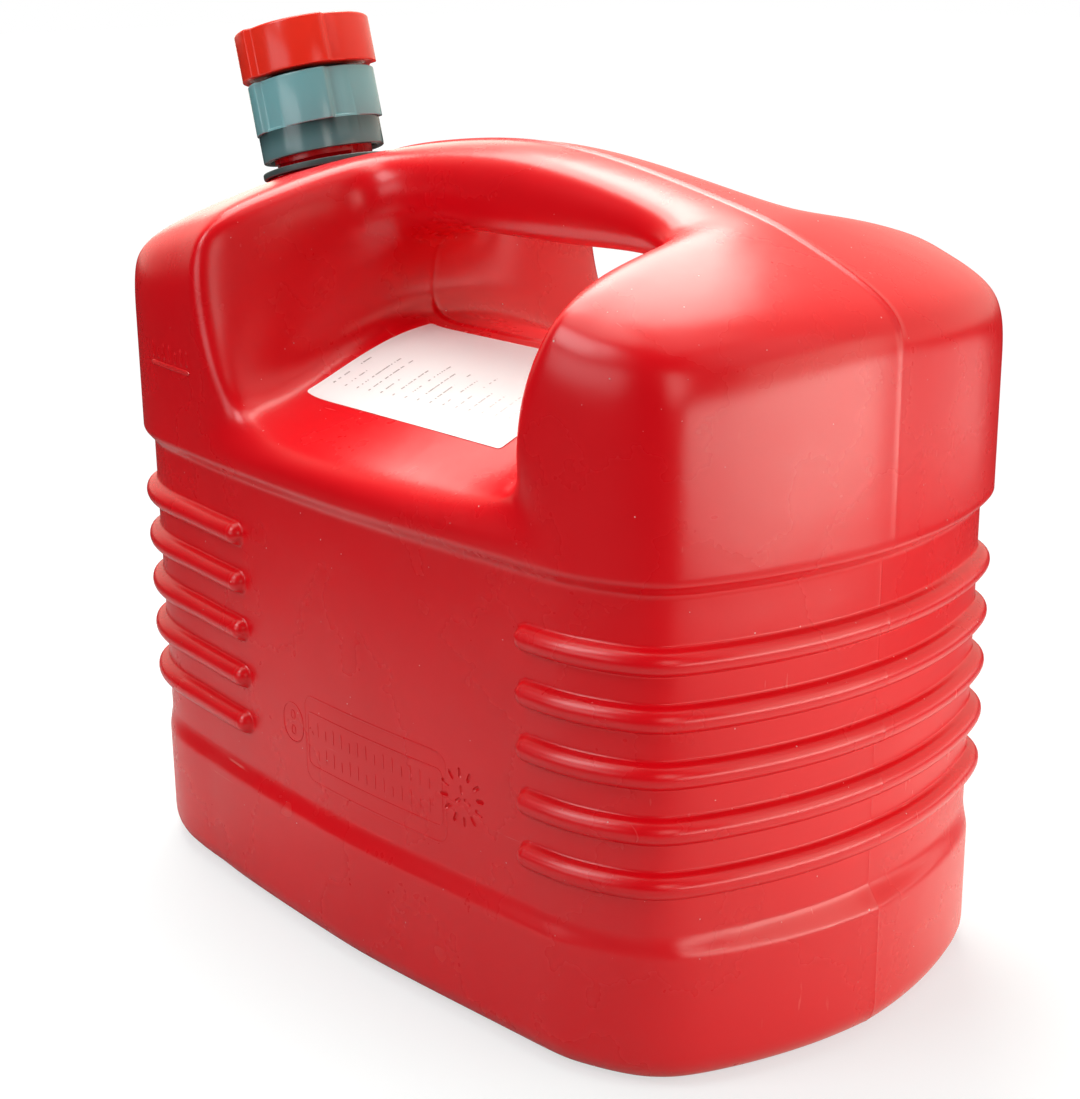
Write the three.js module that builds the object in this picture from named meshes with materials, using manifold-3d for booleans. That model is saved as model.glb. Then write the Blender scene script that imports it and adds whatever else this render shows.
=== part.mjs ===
// A 10 litre blow-moulded fuel can with a through handle, wrap-round ribs and a tilted two-storey closure
// that carries its pouring spout, put away inside the tank. Millimetres, +Z up, length along X, neck end at -X.
import * as THREE from "three";
import { mergeVertices } from "three/addons/utils/BufferGeometryUtils.js";
import Module from "manifold-3d";

const wasm = await Module();
wasm.setup();

// Plan of the tank: half length, half width, bow of the ends and sides, corner round
const HALF_LENGTH = 162;
const HALF_WIDTH = 97.3;
const SIDE_BOW = 938.6;
const END_BOW = 166.2;
const CORNER_ROUND = 41.3;

// Heights of the bands up the tank
const FOOT_ROUND = 10.8;
const PLINTH_HEIGHT = 45.4;
const LEDGE_RISE = 6.3;
const LEDGE_ROUND = 1.7;
const BELT_HEIGHT = 109.9;
const UNDERCUT_RISE = 5.4;
const PLINTH_CORNER_INSET = 3;
const END_INSET = 4.7;
const SIDE_INSET = 2.9;
const BASE_PANEL_RIM = 20.9;
const BASE_PANEL_DEPTH = 3;
const WALL = 2.6;

// The arched top: its height over the middle, its slope far out and how softly it turns over
const ARCH_TOP = 278;
const ARCH_SLOPE = 0.42;
const ARCH_TURN = 115;
const CROWN_DROP = 9;
const RIM_DROP = 19.5;
const END_RIM_DROP = 4.2;

// The hand recess: its walls, its convex floor and the bar of the handle above it
const FRONT_WALL_X = -59.6;
const REAR_WALL_X = 83.6;
const FRONT_FLARE = 4.5;
const REAR_FLARE = 7.3;
const FRONT_MOUTH_DEPTH = 20;
const REAR_MOUTH_DEPTH = 10;
const REAR_LEAN = 8.4;
const REAR_BULGE = 10;
const ARMPIT_DEPTH = 20;
const ARMPIT_RISE = 5;
const HANDLE_HALF_WIDTH = 24.6;
const HIP_Y = 62.7;

// Heights in the hand recess as shares of the way from the shoulder to the top of the arch:
// the floor at the handle side, the hip and the side of the tank, and the underside of the handle
const FLOOR_SHARES = [0.3586, 0.1937, 0.1063];
const UNDERSIDE_SHARE = 0.6802;

// Ribs round both ends of the belt
const RIB_COUNT = 5;
const RIB_SIDES = 8;
const RIB_RADIUS = 4.3;
const RIB_PITCH = 18;
const TOP_RIB_Z = 141.5;
const FRONT_RIB_END_X = -60;
const REAR_RIB_END_X = 96.5;

// The tilted neck: where its axis meets the lower edge of the nut, from the end of the tank and above the arch,
// and its lean towards -X
const NECK_FROM_END = 36.6;
const NECK_RISE = 7.062;
const NECK_TILT = THREE.MathUtils.degToRad(15.3);
const NECK_RADIUS = 20.1;
const BORE_RADIUS = 17.1;
const NECK_TOP = 20.9;
const NECK_ROOT = -16.7;
const BOSS_RADIUS = 23.5;
const BOSS_SPREAD = 6;
const BOSS_TOP = -6.6;

// Closure pieces
const CLEARANCE = 0.4;
const RING_THICKNESS = 2.5;
const RING_RADIUS = 24.9;
const SKIRT_RADIUS = 23.7;
const SKIRT_HEIGHT = 10.6;
const GRIP_HEIGHT = 19.3;
const NUT_RADIUS = 25.2;
const NUT_ROOF = 4.4;
const LOBE_STEP = 2.2;
const LOBE_COUNT = 5;
const NUT_TURN = THREE.MathUtils.degToRad(-22);
const CAP_TURN = THREE.MathUtils.degToRad(-17);
const GASKET_THICKNESS = 1.7;
const FLANGE_THICKNESS = 1.8;
const STUB_RADIUS = 15.6;
const STUB_BORE = 11.5;
const CAP_GAP = 1.7;
const CAP_RADIUS = 26.8;
const CAP_HEIGHT = 18.2;
const CAP_ROOF = 2.2;
const CAP_CHAMFER = 1.3;
const LINER_THICKNESS = 1.4;

// The pouring spout under the collar
const SOCKET_DEPTH = 12.5;
const SOCKET_RADIUS = 16.1;
const HOSE_RADIUS = 14;
const HOSE_WAIST = 12.1;
const HOSE_BORE = 10.2;
const CUFF_RADIUS = 13.2;
const CUFF_LENGTH = 10.5;
const HOSE_LENGTH = 133.8;
const HOSE_RIBS = 13;
const HOSE_SIDES = 12;
const NOZZLE_LENGTH = 54.4;
const NOZZLE_TIP_RADIUS = 10;
const NOZZLE_TIP_BORE = 7.9;
const NOZZLE_SOCKET_RADIUS = 15.3;

// The instruction label on the floor of the recess
const LABEL_GAP = 0.3;
const LABEL_THICKNESS = 0.3;
const LABEL_LENGTH = 104;
const LABEL_DEPTH = 57;
const LABEL_MIDDLE_X = 3;
const LABEL_MIDDLE_Y = -35.5;

const OVERRUN = 1;
const MERGE_STEP = 1e-4;
const TURN_SIDES = 40;
const HIDDEN_SIDES = 24;

// Solids and meshes

function solidOf(geometry) {
  const bare = geometry.index ? geometry.toNonIndexed() : geometry.clone();
  const placed = new THREE.BufferGeometry();
  placed.setAttribute("position", bare.getAttribute("position"));
  const merged = mergeVertices(placed, MERGE_STEP);
  return new wasm.Manifold(
    new wasm.Mesh({
      numProp: 3,
      vertProperties: new Float32Array(merged.attributes.position.array),
      triVerts: new Uint32Array(merged.index.array),
    }),
  );
}

function geometryOf(solid) {
  const { numProp, vertProperties, triVerts } = solid.getMesh();
  const positions = new Float32Array((vertProperties.length / numProp) * 3);
  for (let i = 0; i < positions.length / 3; i++) {
    positions.set(vertProperties.subarray(i * numProp, i * numProp + 3), i * 3);
  }
  const geometry = new THREE.BufferGeometry();
  geometry.setAttribute("position", new THREE.BufferAttribute(positions, 3));
  geometry.setIndex(new THREE.BufferAttribute(triVerts, 1));
  return geometry;
}

// Triangles from polygons of vertices, each polygon convex and given counter-clockwise from outside
function geometryOfFaces(faces) {
  const positions = [];
  for (const face of faces) {
    for (let i = 1; i + 1 < face.length; i++) {
      positions.push(...face[0].toArray(), ...face[i].toArray(), ...face[i + 1].toArray());
    }
  }
  const geometry = new THREE.BufferGeometry();
  geometry.setAttribute("position", new THREE.Float32BufferAttribute(positions, 3));
  return geometry;
}

// A turned solid about +Z from [radius, height] points, either closed in a ring or from axis to axis
function turned(points, sides = TURN_SIDES) {
  const profile = points.map(([radius, height]) => new THREE.Vector2(radius, height));
  const onAxis = points[0][0] === 0;
  if (!onAxis) profile.push(profile[0].clone());
  const geometry = new THREE.LatheGeometry(profile, sides);
  geometry.rotateX(Math.PI / 2);
  return solidOf(geometry);
}

function tubeSolid(outer, inner, low, high) {
  return turned([
    [inner, low],
    [outer, low],
    [outer, high],
    [inner, high],
  ]);
}

// The plan outline

const SIDE_CENTRE_Y = HALF_WIDTH - SIDE_BOW;
const END_CENTRE_X = HALF_LENGTH - END_BOW;

// Centre of the corner round that touches both bows from inside
function cornerCentre() {
  const sideReach = SIDE_BOW - CORNER_ROUND;
  const endReach = END_BOW - CORNER_ROUND;
  const gapX = END_CENTRE_X;
  const gapY = -SIDE_CENTRE_Y;
  const gap = Math.hypot(gapX, gapY);
  const along = (sideReach ** 2 - endReach ** 2 + gap ** 2) / (2 * gap);
  const across = Math.sqrt(sideReach ** 2 - along ** 2);
  const unitX = gapX / gap;
  const unitY = gapY / gap;
  return new THREE.Vector2(unitX * along + unitY * across, SIDE_CENTRE_Y + unitY * along - unitX * across);
}

const CORNER = cornerCentre();
const CORNER_START = Math.atan2(CORNER.y, CORNER.x - END_CENTRE_X);
const CORNER_END = Math.atan2(CORNER.y - SIDE_CENTRE_Y, CORNER.x);

function cornerPoint(angle) {
  return [CORNER.x + CORNER_ROUND * Math.cos(angle), CORNER.y + CORNER_ROUND * Math.sin(angle)];
}

const [END_ARC_X, END_ARC_Y] = cornerPoint(CORNER_START);
const [SIDE_ARC_X, SIDE_ARC_Y] = cornerPoint(CORNER_END);

// Half width of the tank at x, and half length at y
function outlineY(x) {
  if (Math.abs(x) <= SIDE_ARC_X) return SIDE_CENTRE_Y + Math.sqrt(SIDE_BOW ** 2 - x ** 2);
  return CORNER.y + Math.sqrt(Math.max(0, CORNER_ROUND ** 2 - (Math.abs(x) - CORNER.x) ** 2));
}

function outlineX(y) {
  if (Math.abs(y) <= END_ARC_Y) return END_CENTRE_X + Math.sqrt(END_BOW ** 2 - y ** 2);
  return CORNER.x + Math.sqrt(Math.max(0, CORNER_ROUND ** 2 - (Math.abs(y) - CORNER.y) ** 2));
}

function archZ(x) {
  return ARCH_TOP - ARCH_SLOPE * (Math.hypot(x, ARCH_TURN) - ARCH_TURN);
}

const NECK_X = NECK_FROM_END - HALF_LENGTH;
const NECK_Z = archZ(NECK_X) + NECK_RISE;

// The upper tank is a control cage on a lattice, smoothed by subdivision.
// Lattice lines along X: end, end of the corner, middle of the front lump, front wall, two under the handle,
// rear wall, end of the corner, end. Along Y: side, hip, handle side and the same again. Four levels in Z.

const LAST_I = 8;
const LAST_J = 5;
const LAST_K = 3;
const FRONT_I = 3;
const REAR_I = 6;
const HANDLE_J = 2;
const SHOULDER_Z = PLINTH_HEIGHT + LEDGE_RISE + BELT_HEIGHT + UNDERCUT_RISE;
const HANDLE_UNDERSIDE = aboveShoulder(UNDERSIDE_SHARE);
const SHARP = { rim: 0.1, mouth: 1, front: 0.3, rear: 0.3, frontFoot: 1, rearFoot: 0.8, handle: 0.35 };

function isFilled(i, j, k) {
  if (i < 0 || j < 0 || i >= LAST_I || j >= LAST_J || k >= LAST_K) return false;
  if (k <= 0) return true;
  const inRecess = i >= FRONT_I && i < REAR_I;
  return !inRecess || (k === LAST_K - 1 && j === HANDLE_J);
}

// How far out from the handle side a line lies: 0 at the handle, 1 at the hip, 2 at the side of the tank
function outness(j) {
  return j < HANDLE_J + 1 ? HANDLE_J - j : j - HANDLE_J - 1;
}

function lineY(j) {
  const reach = [HANDLE_HALF_WIDTH, HIP_Y, HALF_WIDTH][outness(j)];
  return j <= HANDLE_J ? -reach : reach;
}

function lineX(i, j, k) {
  const share = outness(j) / 2;
  const run = k === 1 ? share ** 2 : 0;
  const front = FRONT_WALL_X - FRONT_FLARE * share + FRONT_MOUTH_DEPTH * run;
  const lean = k === LAST_K && outness(j) > 0 ? REAR_LEAN : 0;
  const pit = k >= 2 && outness(j) === 0 ? ARMPIT_DEPTH : 0;
  const flare = REAR_FLARE * share;
  const bulge = k === 2 ? REAR_BULGE * share : 0;
  const rear = REAR_WALL_X + flare + lean + pit - bulge - REAR_MOUTH_DEPTH * run;
  const third = (REAR_WALL_X - FRONT_WALL_X) / 3;
  const rows = [
    -HALF_LENGTH,
    -SIDE_ARC_X,
    (front - SIDE_ARC_X) / 2,
    front,
    FRONT_WALL_X + third,
    REAR_WALL_X - third,
    rear,
    Math.max(SIDE_ARC_X, rear + flare),
    HALF_LENGTH,
  ];
  return rows[i];
}

// Plan place of a lattice column, on the true outline where it is an outer one
function planPoint(i, j, k) {
  const endLine = i === 0 || i === LAST_I;
  const sideLine = j === 0 || j === LAST_J;
  const signX = i < LAST_I / 2 ? -1 : 1;
  const signY = j < LAST_J / 2 ? -1 : 1;
  if (endLine && sideLine) {
    const [x, y] = cornerPoint((CORNER_START + CORNER_END) / 2);
    return [signX * x, signY * y];
  }
  if (endLine) {
    const y = outness(j) === 1 ? signY * END_ARC_Y : lineY(j);
    return [signX * outlineX(y), y];
  }
  const x = lineX(i, j, k);
  return sideLine ? [x, signY * outlineY(x)] : [x, lineY(j)];
}

function topZ(x, i, j) {
  const drop = [0, CROWN_DROP, RIM_DROP][outness(j)];
  const atEnd = i === 0 || i === LAST_I;
  const endDrop = END_RIM_DROP + (drop * 5) / 6;
  return archZ(x) - (atEnd ? endDrop : drop);
}

function aboveShoulder(share) {
  return SHOULDER_Z + (ARCH_TOP - SHOULDER_Z) * share;
}

function cagePoint(i, j, k) {
  const [x, y] = planPoint(i, j, k);
  const heights = [SHOULDER_Z, aboveShoulder(FLOOR_SHARES[outness(j)]), HANDLE_UNDERSIDE, topZ(x, i, j)];
  if (outness(j) > 0 || i === 0 || i === LAST_I) {
    heights[2] = (heights[1] + heights[3]) / 2;
  }
  if (i === REAR_I && outness(j) === 0) heights[2] += ARMPIT_RISE;
  return new THREE.Vector3(x, y, heights[k]);
}

function cageSharpness(a, b) {
  const both = (test) => test(a) && test(b);
  const outer = (p) => p.i === 0 || p.i === LAST_I || p.j === 0 || p.j === LAST_J;
  const atSide = (p) => p.j === 0 || p.j === LAST_J;
  if (both((p) => p.k === 0)) return 0;
  if (both((p) => p.k === LAST_K && outer(p))) return SHARP.rim;
  if (a.i === b.i && (a.i === FRONT_I || a.i === REAR_I)) {
    if (both(atSide) && both((p) => p.k >= 1)) return SHARP.mouth;
    if (both((p) => p.k === LAST_K)) return a.i === FRONT_I ? SHARP.front : SHARP.rear;
    if (both((p) => p.k === 1)) return a.i === FRONT_I ? SHARP.frontFoot : SHARP.rearFoot;
  }
  const inRecess = (p) => p.i >= FRONT_I && p.i <= REAR_I;
  const onHandle = (p) => (p.j === HANDLE_J || p.j === HANDLE_J + 1) && p.k >= 2;
  if (both(inRecess) && both(onHandle) && a.j === b.j && a.k === b.k) return SHARP.handle;
  return 0;
}

// The cage as shared vertices, quads facing out and sharpness by edge
function buildCage() {
  const index = new Map();
  const cage = { points: [], faces: [], sharp: new Map(), tags: [] };
  const at = (i, j, k) => {
    const key = `${i},${j},${k}`;
    if (!index.has(key)) {
      index.set(key, cage.points.length);
      cage.points.push(Object.assign(cagePoint(i, j, k), { lattice: { i, j, k } }));
    }
    return index.get(key);
  };
  const walls = [
    { step: [1, 0, 0], corners: [[1, 0, 0], [1, 1, 0], [1, 1, 1], [1, 0, 1]] },
    { step: [-1, 0, 0], corners: [[0, 0, 0], [0, 0, 1], [0, 1, 1], [0, 1, 0]] },
    { step: [0, 1, 0], corners: [[0, 1, 0], [0, 1, 1], [1, 1, 1], [1, 1, 0]] },
    { step: [0, -1, 0], corners: [[0, 0, 0], [1, 0, 0], [1, 0, 1], [0, 0, 1]] },
    { step: [0, 0, 1], corners: [[0, 0, 1], [1, 0, 1], [1, 1, 1], [0, 1, 1]] },
    { step: [0, 0, -1], corners: [[0, 0, 0], [0, 1, 0], [1, 1, 0], [1, 0, 0]] },
  ];
  for (let i = 0; i < LAST_I; i++) {
    for (let j = 0; j < LAST_J; j++) {
      for (let k = 0; k < LAST_K; k++) {
        if (!isFilled(i, j, k)) continue;
        for (const { step, corners } of walls) {
          if (k + step[2] < 0 || isFilled(i + step[0], j + step[1], k + step[2])) continue;
          cage.faces.push(corners.map(([u, v, w]) => at(i + u, j + v, k + w)));
          cage.tags.push(k === 0 && step[2] === 1 ? "floor" : "skin");
        }
      }
    }
  }
  for (const face of cage.faces) {
    face.forEach((from, n) => {
      const to = face[(n + 1) % 4];
      cage.sharp.set(edgeKey(from, to), cageSharpness(cage.points[from].lattice, cage.points[to].lattice));
    });
  }
  return cage;
}

function edgeKey(a, b) {
  return a < b ? `${a}_${b}` : `${b}_${a}`;
}

function blend(terms) {
  const sum = new THREE.Vector3();
  for (const [point, weight] of terms) sum.addScaledVector(point, weight);
  return sum;
}

// One step of Catmull-Clark subdivision with part-sharp edges
function subdivide(mesh) {
  const { points, faces, sharp, tags } = mesh;
  const centres = faces.map((face) => blend(face.map((v) => [points[v], 1 / face.length])));
  const edges = new Map();
  const facesAt = points.map(() => []);
  faces.forEach((face, f) => {
    face.forEach((from, n) => {
      const to = face[(n + 1) % face.length];
      const key = edgeKey(from, to);
      if (!edges.has(key)) edges.set(key, { ends: [from, to], faces: [] });
      edges.get(key).faces.push(f);
      facesAt[from].push(f);
    });
  });
  const edgesAt = points.map(() => []);
  for (const [key, edge] of edges) {
    edge.sharp = edge.faces.length === 1 ? Infinity : (sharp.get(key) ?? 0);
    edge.middle = blend(edge.ends.map((v) => [points[v], 1 / 2]));
    for (const v of edge.ends) edgesAt[v].push(edge);
  }
  const next = { points: [], faces: [], sharp: new Map(), tags: [] };
  points.forEach((point, v) => {
    const count = edgesAt[v].length;
    const smooth = blend([
      ...facesAt[v].map((f) => [centres[f], 1 / (facesAt[v].length * count)]),
      ...edgesAt[v].map((edge) => [edge.middle, 2 / (count * count)]),
      [point, (count - 3) / count],
    ]);
    const creases = edgesAt[v].filter((edge) => edge.sharp > 0);
    if (creases.length < 2) {
      next.points.push(smooth);
      return;
    }
    const folded =
      creases.length === 2
        ? blend([[point, 1 / 2], ...creases.map((edge) => [edge.middle, 1 / 4])])
        : point.clone();
    const mean = creases.reduce((sum, edge) => sum + Math.min(edge.sharp, 1), 0) / creases.length;
    next.points.push(smooth.lerp(folded, mean));
  });
  centres.forEach((centre) => next.points.push(centre));
  for (const edge of edges.values()) {
    const soft =
      edge.faces.length === 2
        ? blend([[edge.middle, 1 / 2], ...edge.faces.map((f) => [centres[f], 1 / 4])])
        : edge.middle;
    edge.index = next.points.length;
    next.points.push(soft.clone().lerp(edge.middle, Math.min(edge.sharp, 1)));
    if (edge.sharp > 1 && edge.sharp !== Infinity) {
      for (const v of edge.ends) next.sharp.set(edgeKey(v, edge.index), edge.sharp - 1);
    }
  }
  faces.forEach((face, f) => {
    face.forEach((vertex, n) => {
      const after = edges.get(edgeKey(vertex, face[(n + 1) % face.length])).index;
      const before = edges.get(edgeKey(face[(n + face.length - 1) % face.length], vertex)).index;
      next.faces.push([vertex, after, points.length + f, before]);
      next.tags.push(tags[f]);
    });
  });
  return next;
}

// Moves the outer columns out so that the smoothed wall, not the cage, lies on the plan outline
function fitWalls(cage) {
  const wall = cage.points.filter((p) => p.lattice.k === 0 && isOuter(p.lattice));
  wall.sort((p, q) => Math.atan2(p.y, p.x) - Math.atan2(q.y, q.x));
  const target = wall.map((p) => p.clone());
  const ring = wall.map((p) => p.clone());
  for (let pass = 0; pass < 12; pass++) {
    const limit = ring.map((p, n) => {
      const before = ring[(n + ring.length - 1) % ring.length];
      const after = ring[(n + 1) % ring.length];
      return blend([[before, 1 / 6], [p, 4 / 6], [after, 1 / 6]]);
    });
    ring.forEach((p, n) => p.add(target[n]).sub(limit[n]));
  }
  const shift = new Map();
  wall.forEach((p, n) => shift.set(`${p.lattice.i},${p.lattice.j}`, ring[n].clone().sub(target[n])));
  for (const p of cage.points) {
    const move = shift.get(`${p.lattice.i},${p.lattice.j}`);
    if (move) p.add(move);
  }
}

function isOuter({ i, j }) {
  return i === 0 || i === LAST_I || j === 0 || j === LAST_J;
}

// The open lower edge of the smoothed cage as a ring, counter-clockwise from above
function lowerRing(mesh) {
  const nextOf = new Map();
  const seen = new Set();
  for (const face of mesh.faces) {
    face.forEach((from, n) => seen.add(`${from}>${face[(n + 1) % face.length]}`));
  }
  for (const face of mesh.faces) {
    face.forEach((from, n) => {
      const to = face[(n + 1) % face.length];
      if (!seen.has(`${to}>${from}`)) nextOf.set(from, to);
    });
  }
  const start = nextOf.keys().next().value;
  const ring = [];
  let at = start;
  do {
    ring.push(mesh.points[at]);
    at = nextOf.get(at);
  } while (at !== start);
  return ring;
}

// A ring of the body below the shoulder: the shoulder's plan drawn in by an inset and set at a height
function bandRing(ring, endInset, sideInset, z, cornerInset = 0) {
  return ring.map((point, n) => {
    const before = ring[(n + ring.length - 1) % ring.length];
    const after = ring[(n + 1) % ring.length];
    const along = after.clone().sub(before).normalize();
    const corner = 2 * Math.abs(along.x * along.y) * cornerInset;
    const inset = sideInset + (endInset - sideInset) * Math.abs(along.y) + corner;
    return new THREE.Vector3(point.x - along.y * inset, point.y + along.x * inset, z);
  });
}

// Every second point of a ring, for the plainer bands below the shoulder
function halved(ring) {
  return ring.filter((_, n) => n % 2 === 0);
}

// Triangles from a full ring down to a halved one
function halvingFaces(ring, half) {
  const faces = [];
  half.forEach((point, n) => {
    const m = (n + 1) % half.length;
    const [first, middle, last] = [ring[2 * n], ring[2 * n + 1], ring[(2 * n + 2) % ring.length]];
    faces.push([first, point, middle]);
    faces.push([middle, point, half[m]]);
    faces.push([middle, half[m], last]);
  });
  return faces;
}

// Quads between rings that run counter-clockwise from above, from the top ring down
function bandFaces(rings) {
  const faces = [];
  for (let level = 0; level + 1 < rings.length; level++) {
    rings[level].forEach((point, n) => {
      const m = (n + 1) % rings[level].length;
      faces.push([point, rings[level + 1][n], rings[level + 1][m], rings[level][m]]);
    });
  }
  return faces;
}

function capFaces(ring, z) {
  const centre = new THREE.Vector3(0, 0, z);
  return ring.map((point, n) => [centre, ring[(n + 1) % ring.length], point]);
}

const BELT_TOP = PLINTH_HEIGHT + LEDGE_RISE + BELT_HEIGHT;
const BELT_BOTTOM = PLINTH_HEIGHT + LEDGE_RISE;

function skinFaces(mesh) {
  return mesh.faces.map((face) => face.map((v) => mesh.points[v]));
}

// Outer skin: smoothed top, undercut, belt, ledge, plinth, rounded foot and drawn-in base panel
function outerSolid(mesh) {
  const shoulder = lowerRing(mesh);
  const turnedUnder = bandRing(shoulder, END_INSET / 4, SIDE_INSET / 4, SHOULDER_Z - LEDGE_ROUND);
  const ring = halved(shoulder);
  const inset = (share, z) => bandRing(ring, END_INSET * share, SIDE_INSET * share, z);
  const drawnIn = (by, z) => bandRing(ring, by, by, z, PLINTH_CORNER_INSET);
  const rings = [
    inset(1, BELT_TOP),
    inset(1, BELT_BOTTOM),
    drawnIn(LEDGE_ROUND, PLINTH_HEIGHT + LEDGE_ROUND / 2),
    drawnIn(0, PLINTH_HEIGHT - LEDGE_ROUND),
  ];
  const steps = 3;
  for (let step = 0; step <= steps; step++) {
    const turn = (Math.PI / 2) * (step / steps);
    rings.push(drawnIn(FOOT_ROUND * (1 - Math.cos(turn)), FOOT_ROUND * (1 - Math.sin(turn))));
  }
  rings.push(drawnIn(BASE_PANEL_RIM, 0));
  rings.push(drawnIn(BASE_PANEL_RIM + BASE_PANEL_DEPTH, BASE_PANEL_DEPTH));
  const upper = [...skinFaces(mesh), ...bandFaces([shoulder, turnedUnder])];
  const lower = [...bandFaces(rings), ...capFaces(rings.at(-1), BASE_PANEL_DEPTH)];
  return solidOf(geometryOfFaces([...upper, ...halvingFaces(turnedUnder, rings[0]), ...lower]));
}

// How far each point of the coarser mesh goes in beyond the wall, so that the facets between them
// keep clear of the finer outer skin where it is hollow
function facetSag(coarseMesh, fineMesh, normals) {
  const sag = coarseMesh.points.map(() => 0);
  const compare = (corners, at) => {
    const chord = blend(corners.map((v) => [fineMesh.points[v], 1 / corners.length]));
    const reach = chord.sub(fineMesh.points[at]).dot(normals[at].clone().normalize());
    for (const v of corners) sag[v] = Math.max(sag[v], reach);
  };
  coarseMesh.faces.forEach((face, f) => {
    compare(face, coarseMesh.points.length + f);
    face.forEach((v, n) => compare([v, face[(n + 1) % 4]], fineMesh.faces[4 * f + n][1]));
  });
  return sag;
}

// Inner skin: the coarser mesh's faces on the finer mesh's points, moved in by the wall
function innerSolid(coarseMesh, fineMesh) {
  const normals = fineMesh.points.map(() => new THREE.Vector3());
  for (const face of fineMesh.faces) {
    const [a, b, c, d] = face.map((v) => fineMesh.points[v]);
    const normal = c.clone().sub(a).cross(d.clone().sub(b)).normalize();
    for (const v of face) normals[v].add(normal);
  }
  const sag = facetSag(coarseMesh, fineMesh, normals);
  const points = coarseMesh.points.map((_, v) => {
    const point = fineMesh.points[v];
    if (point.z <= SHOULDER_Z) normals[v].z = 0;
    return point.clone().addScaledVector(normals[v].normalize(), -WALL - sag[v]);
  });
  const moved = { ...coarseMesh, points };
  const ring = lowerRing(moved);
  const bottom = BASE_PANEL_DEPTH + WALL;
  const rings = [
    ring,
    bandRing(ring, END_INSET, SIDE_INSET, BELT_TOP),
    bandRing(ring, END_INSET, SIDE_INSET, BELT_BOTTOM),
    bandRing(ring, 0, 0, PLINTH_HEIGHT - LEDGE_RISE, PLINTH_CORNER_INSET),
    bandRing(ring, 0, 0, bottom + FOOT_ROUND, PLINTH_CORNER_INSET),
    bandRing(ring, FOOT_ROUND, FOOT_ROUND, bottom, PLINTH_CORNER_INSET),
  ];
  const faces = [...skinFaces(moved), ...bandFaces(rings), ...capFaces(rings.at(-1), bottom)];
  return solidOf(geometryOfFaces(faces));
}

// A half-sunk round rib that wraps one end of the belt at a height and ends in a dome on each side
function ribSolid(ring, endX, z) {
  const sign = Math.sign(endX);
  const belt = bandRing(ring, END_INSET, SIDE_INSET, z);
  const middles = belt.map((point, n) => point.clone().lerp(belt[(n + 1) % belt.length], 1 / 2));
  const onWrap = middles.filter((point) => point.x * sign > endX * sign + RIB_RADIUS);
  onWrap.sort((p, q) => Math.atan2(p.y, p.x * sign) - Math.atan2(q.y, q.x * sign));
  const stop = (side) => new THREE.Vector3(endX, side * (outlineY(endX) - SIDE_INSET), z);
  const path = [stop(-1), ...onWrap, stop(1)];
  const along = path.map((point, n) => {
    const before = path[Math.max(0, n - 1)];
    const after = path[Math.min(path.length - 1, n + 1)];
    return after.clone().sub(before).normalize();
  });
  const section = (n, reach, turn) => {
    const centre = path[n].clone().addScaledVector(along[n], reach * RIB_RADIUS * Math.sin(turn));
    const out = new THREE.Vector3(along[n].y, -along[n].x, 0);
    return Array.from({ length: RIB_SIDES }, (_, s) => {
      const angle = (2 * Math.PI * (s + 1 / 2)) / RIB_SIDES;
      const radius = RIB_RADIUS * Math.cos(turn);
      const rise = new THREE.Vector3(0, 0, radius * Math.sin(angle));
      return centre.clone().addScaledVector(out, radius * Math.cos(angle)).add(rise);
    });
  };
  const last = path.length - 1;
  const domeTurn = Math.PI / 4;
  const rings = [section(0, -1, domeTurn), ...path.map((_, n) => section(n, 0, 0)), section(last, 1, domeTurn)];
  const faces = [];
  for (let n = 0; n + 1 < rings.length; n++) {
    for (let s = 0; s < RIB_SIDES; s++) {
      const t = (s + 1) % RIB_SIDES;
      faces.push([rings[n][s], rings[n + 1][s], rings[n + 1][t], rings[n][t]]);
    }
  }
  const firstTip = stop(-1).addScaledVector(along[0], -RIB_RADIUS);
  const lastTip = stop(1).addScaledVector(along[last], RIB_RADIUS);
  for (let s = 0; s < RIB_SIDES; s++) {
    const t = (s + 1) % RIB_SIDES;
    faces.push([firstTip, rings[0][s], rings[0][t]]);
    faces.push([lastTip, rings.at(-1)[t], rings.at(-1)[s]]);
  }
  return solidOf(geometryOfFaces(faces));
}

// Places a solid drawn about the closure's own axis into the tank's frame
function onNeck(solid) {
  return solid
    .rotate([0, -THREE.MathUtils.radToDeg(NECK_TILT), 0])
    .translate([NECK_X, 0, NECK_Z]);
}

const cage = buildCage();
fitWalls(cage);
const coarse = subdivide(cage);
const fine = subdivide(coarse);

function tankSolid() {
  let tank = outerSolid(fine);
  const ring = halved(lowerRing(fine));
  for (let n = 0; n < RIB_COUNT; n++) {
    for (const endX of [FRONT_RIB_END_X, REAR_RIB_END_X]) {
      tank = tank.add(ribSolid(ring, endX, TOP_RIB_Z - n * RIB_PITCH));
    }
  }
  const neck = turned([
    [0, NECK_ROOT],
    [BOSS_RADIUS + BOSS_SPREAD, NECK_ROOT],
    [BOSS_RADIUS, BOSS_TOP],
    [NECK_RADIUS, BOSS_TOP],
    [NECK_RADIUS, NECK_TOP],
    [0, NECK_TOP],
  ]);
  const bore = turned([
    [0, NECK_ROOT - BOSS_RADIUS],
    [BORE_RADIUS, NECK_ROOT - BOSS_RADIUS],
    [BORE_RADIUS, NECK_TOP + OVERRUN],
    [0, NECK_TOP + OVERRUN],
  ]);
  return tank.add(onNeck(neck)).subtract(innerSolid(coarse, fine)).subtract(onNeck(bore));
}

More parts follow.
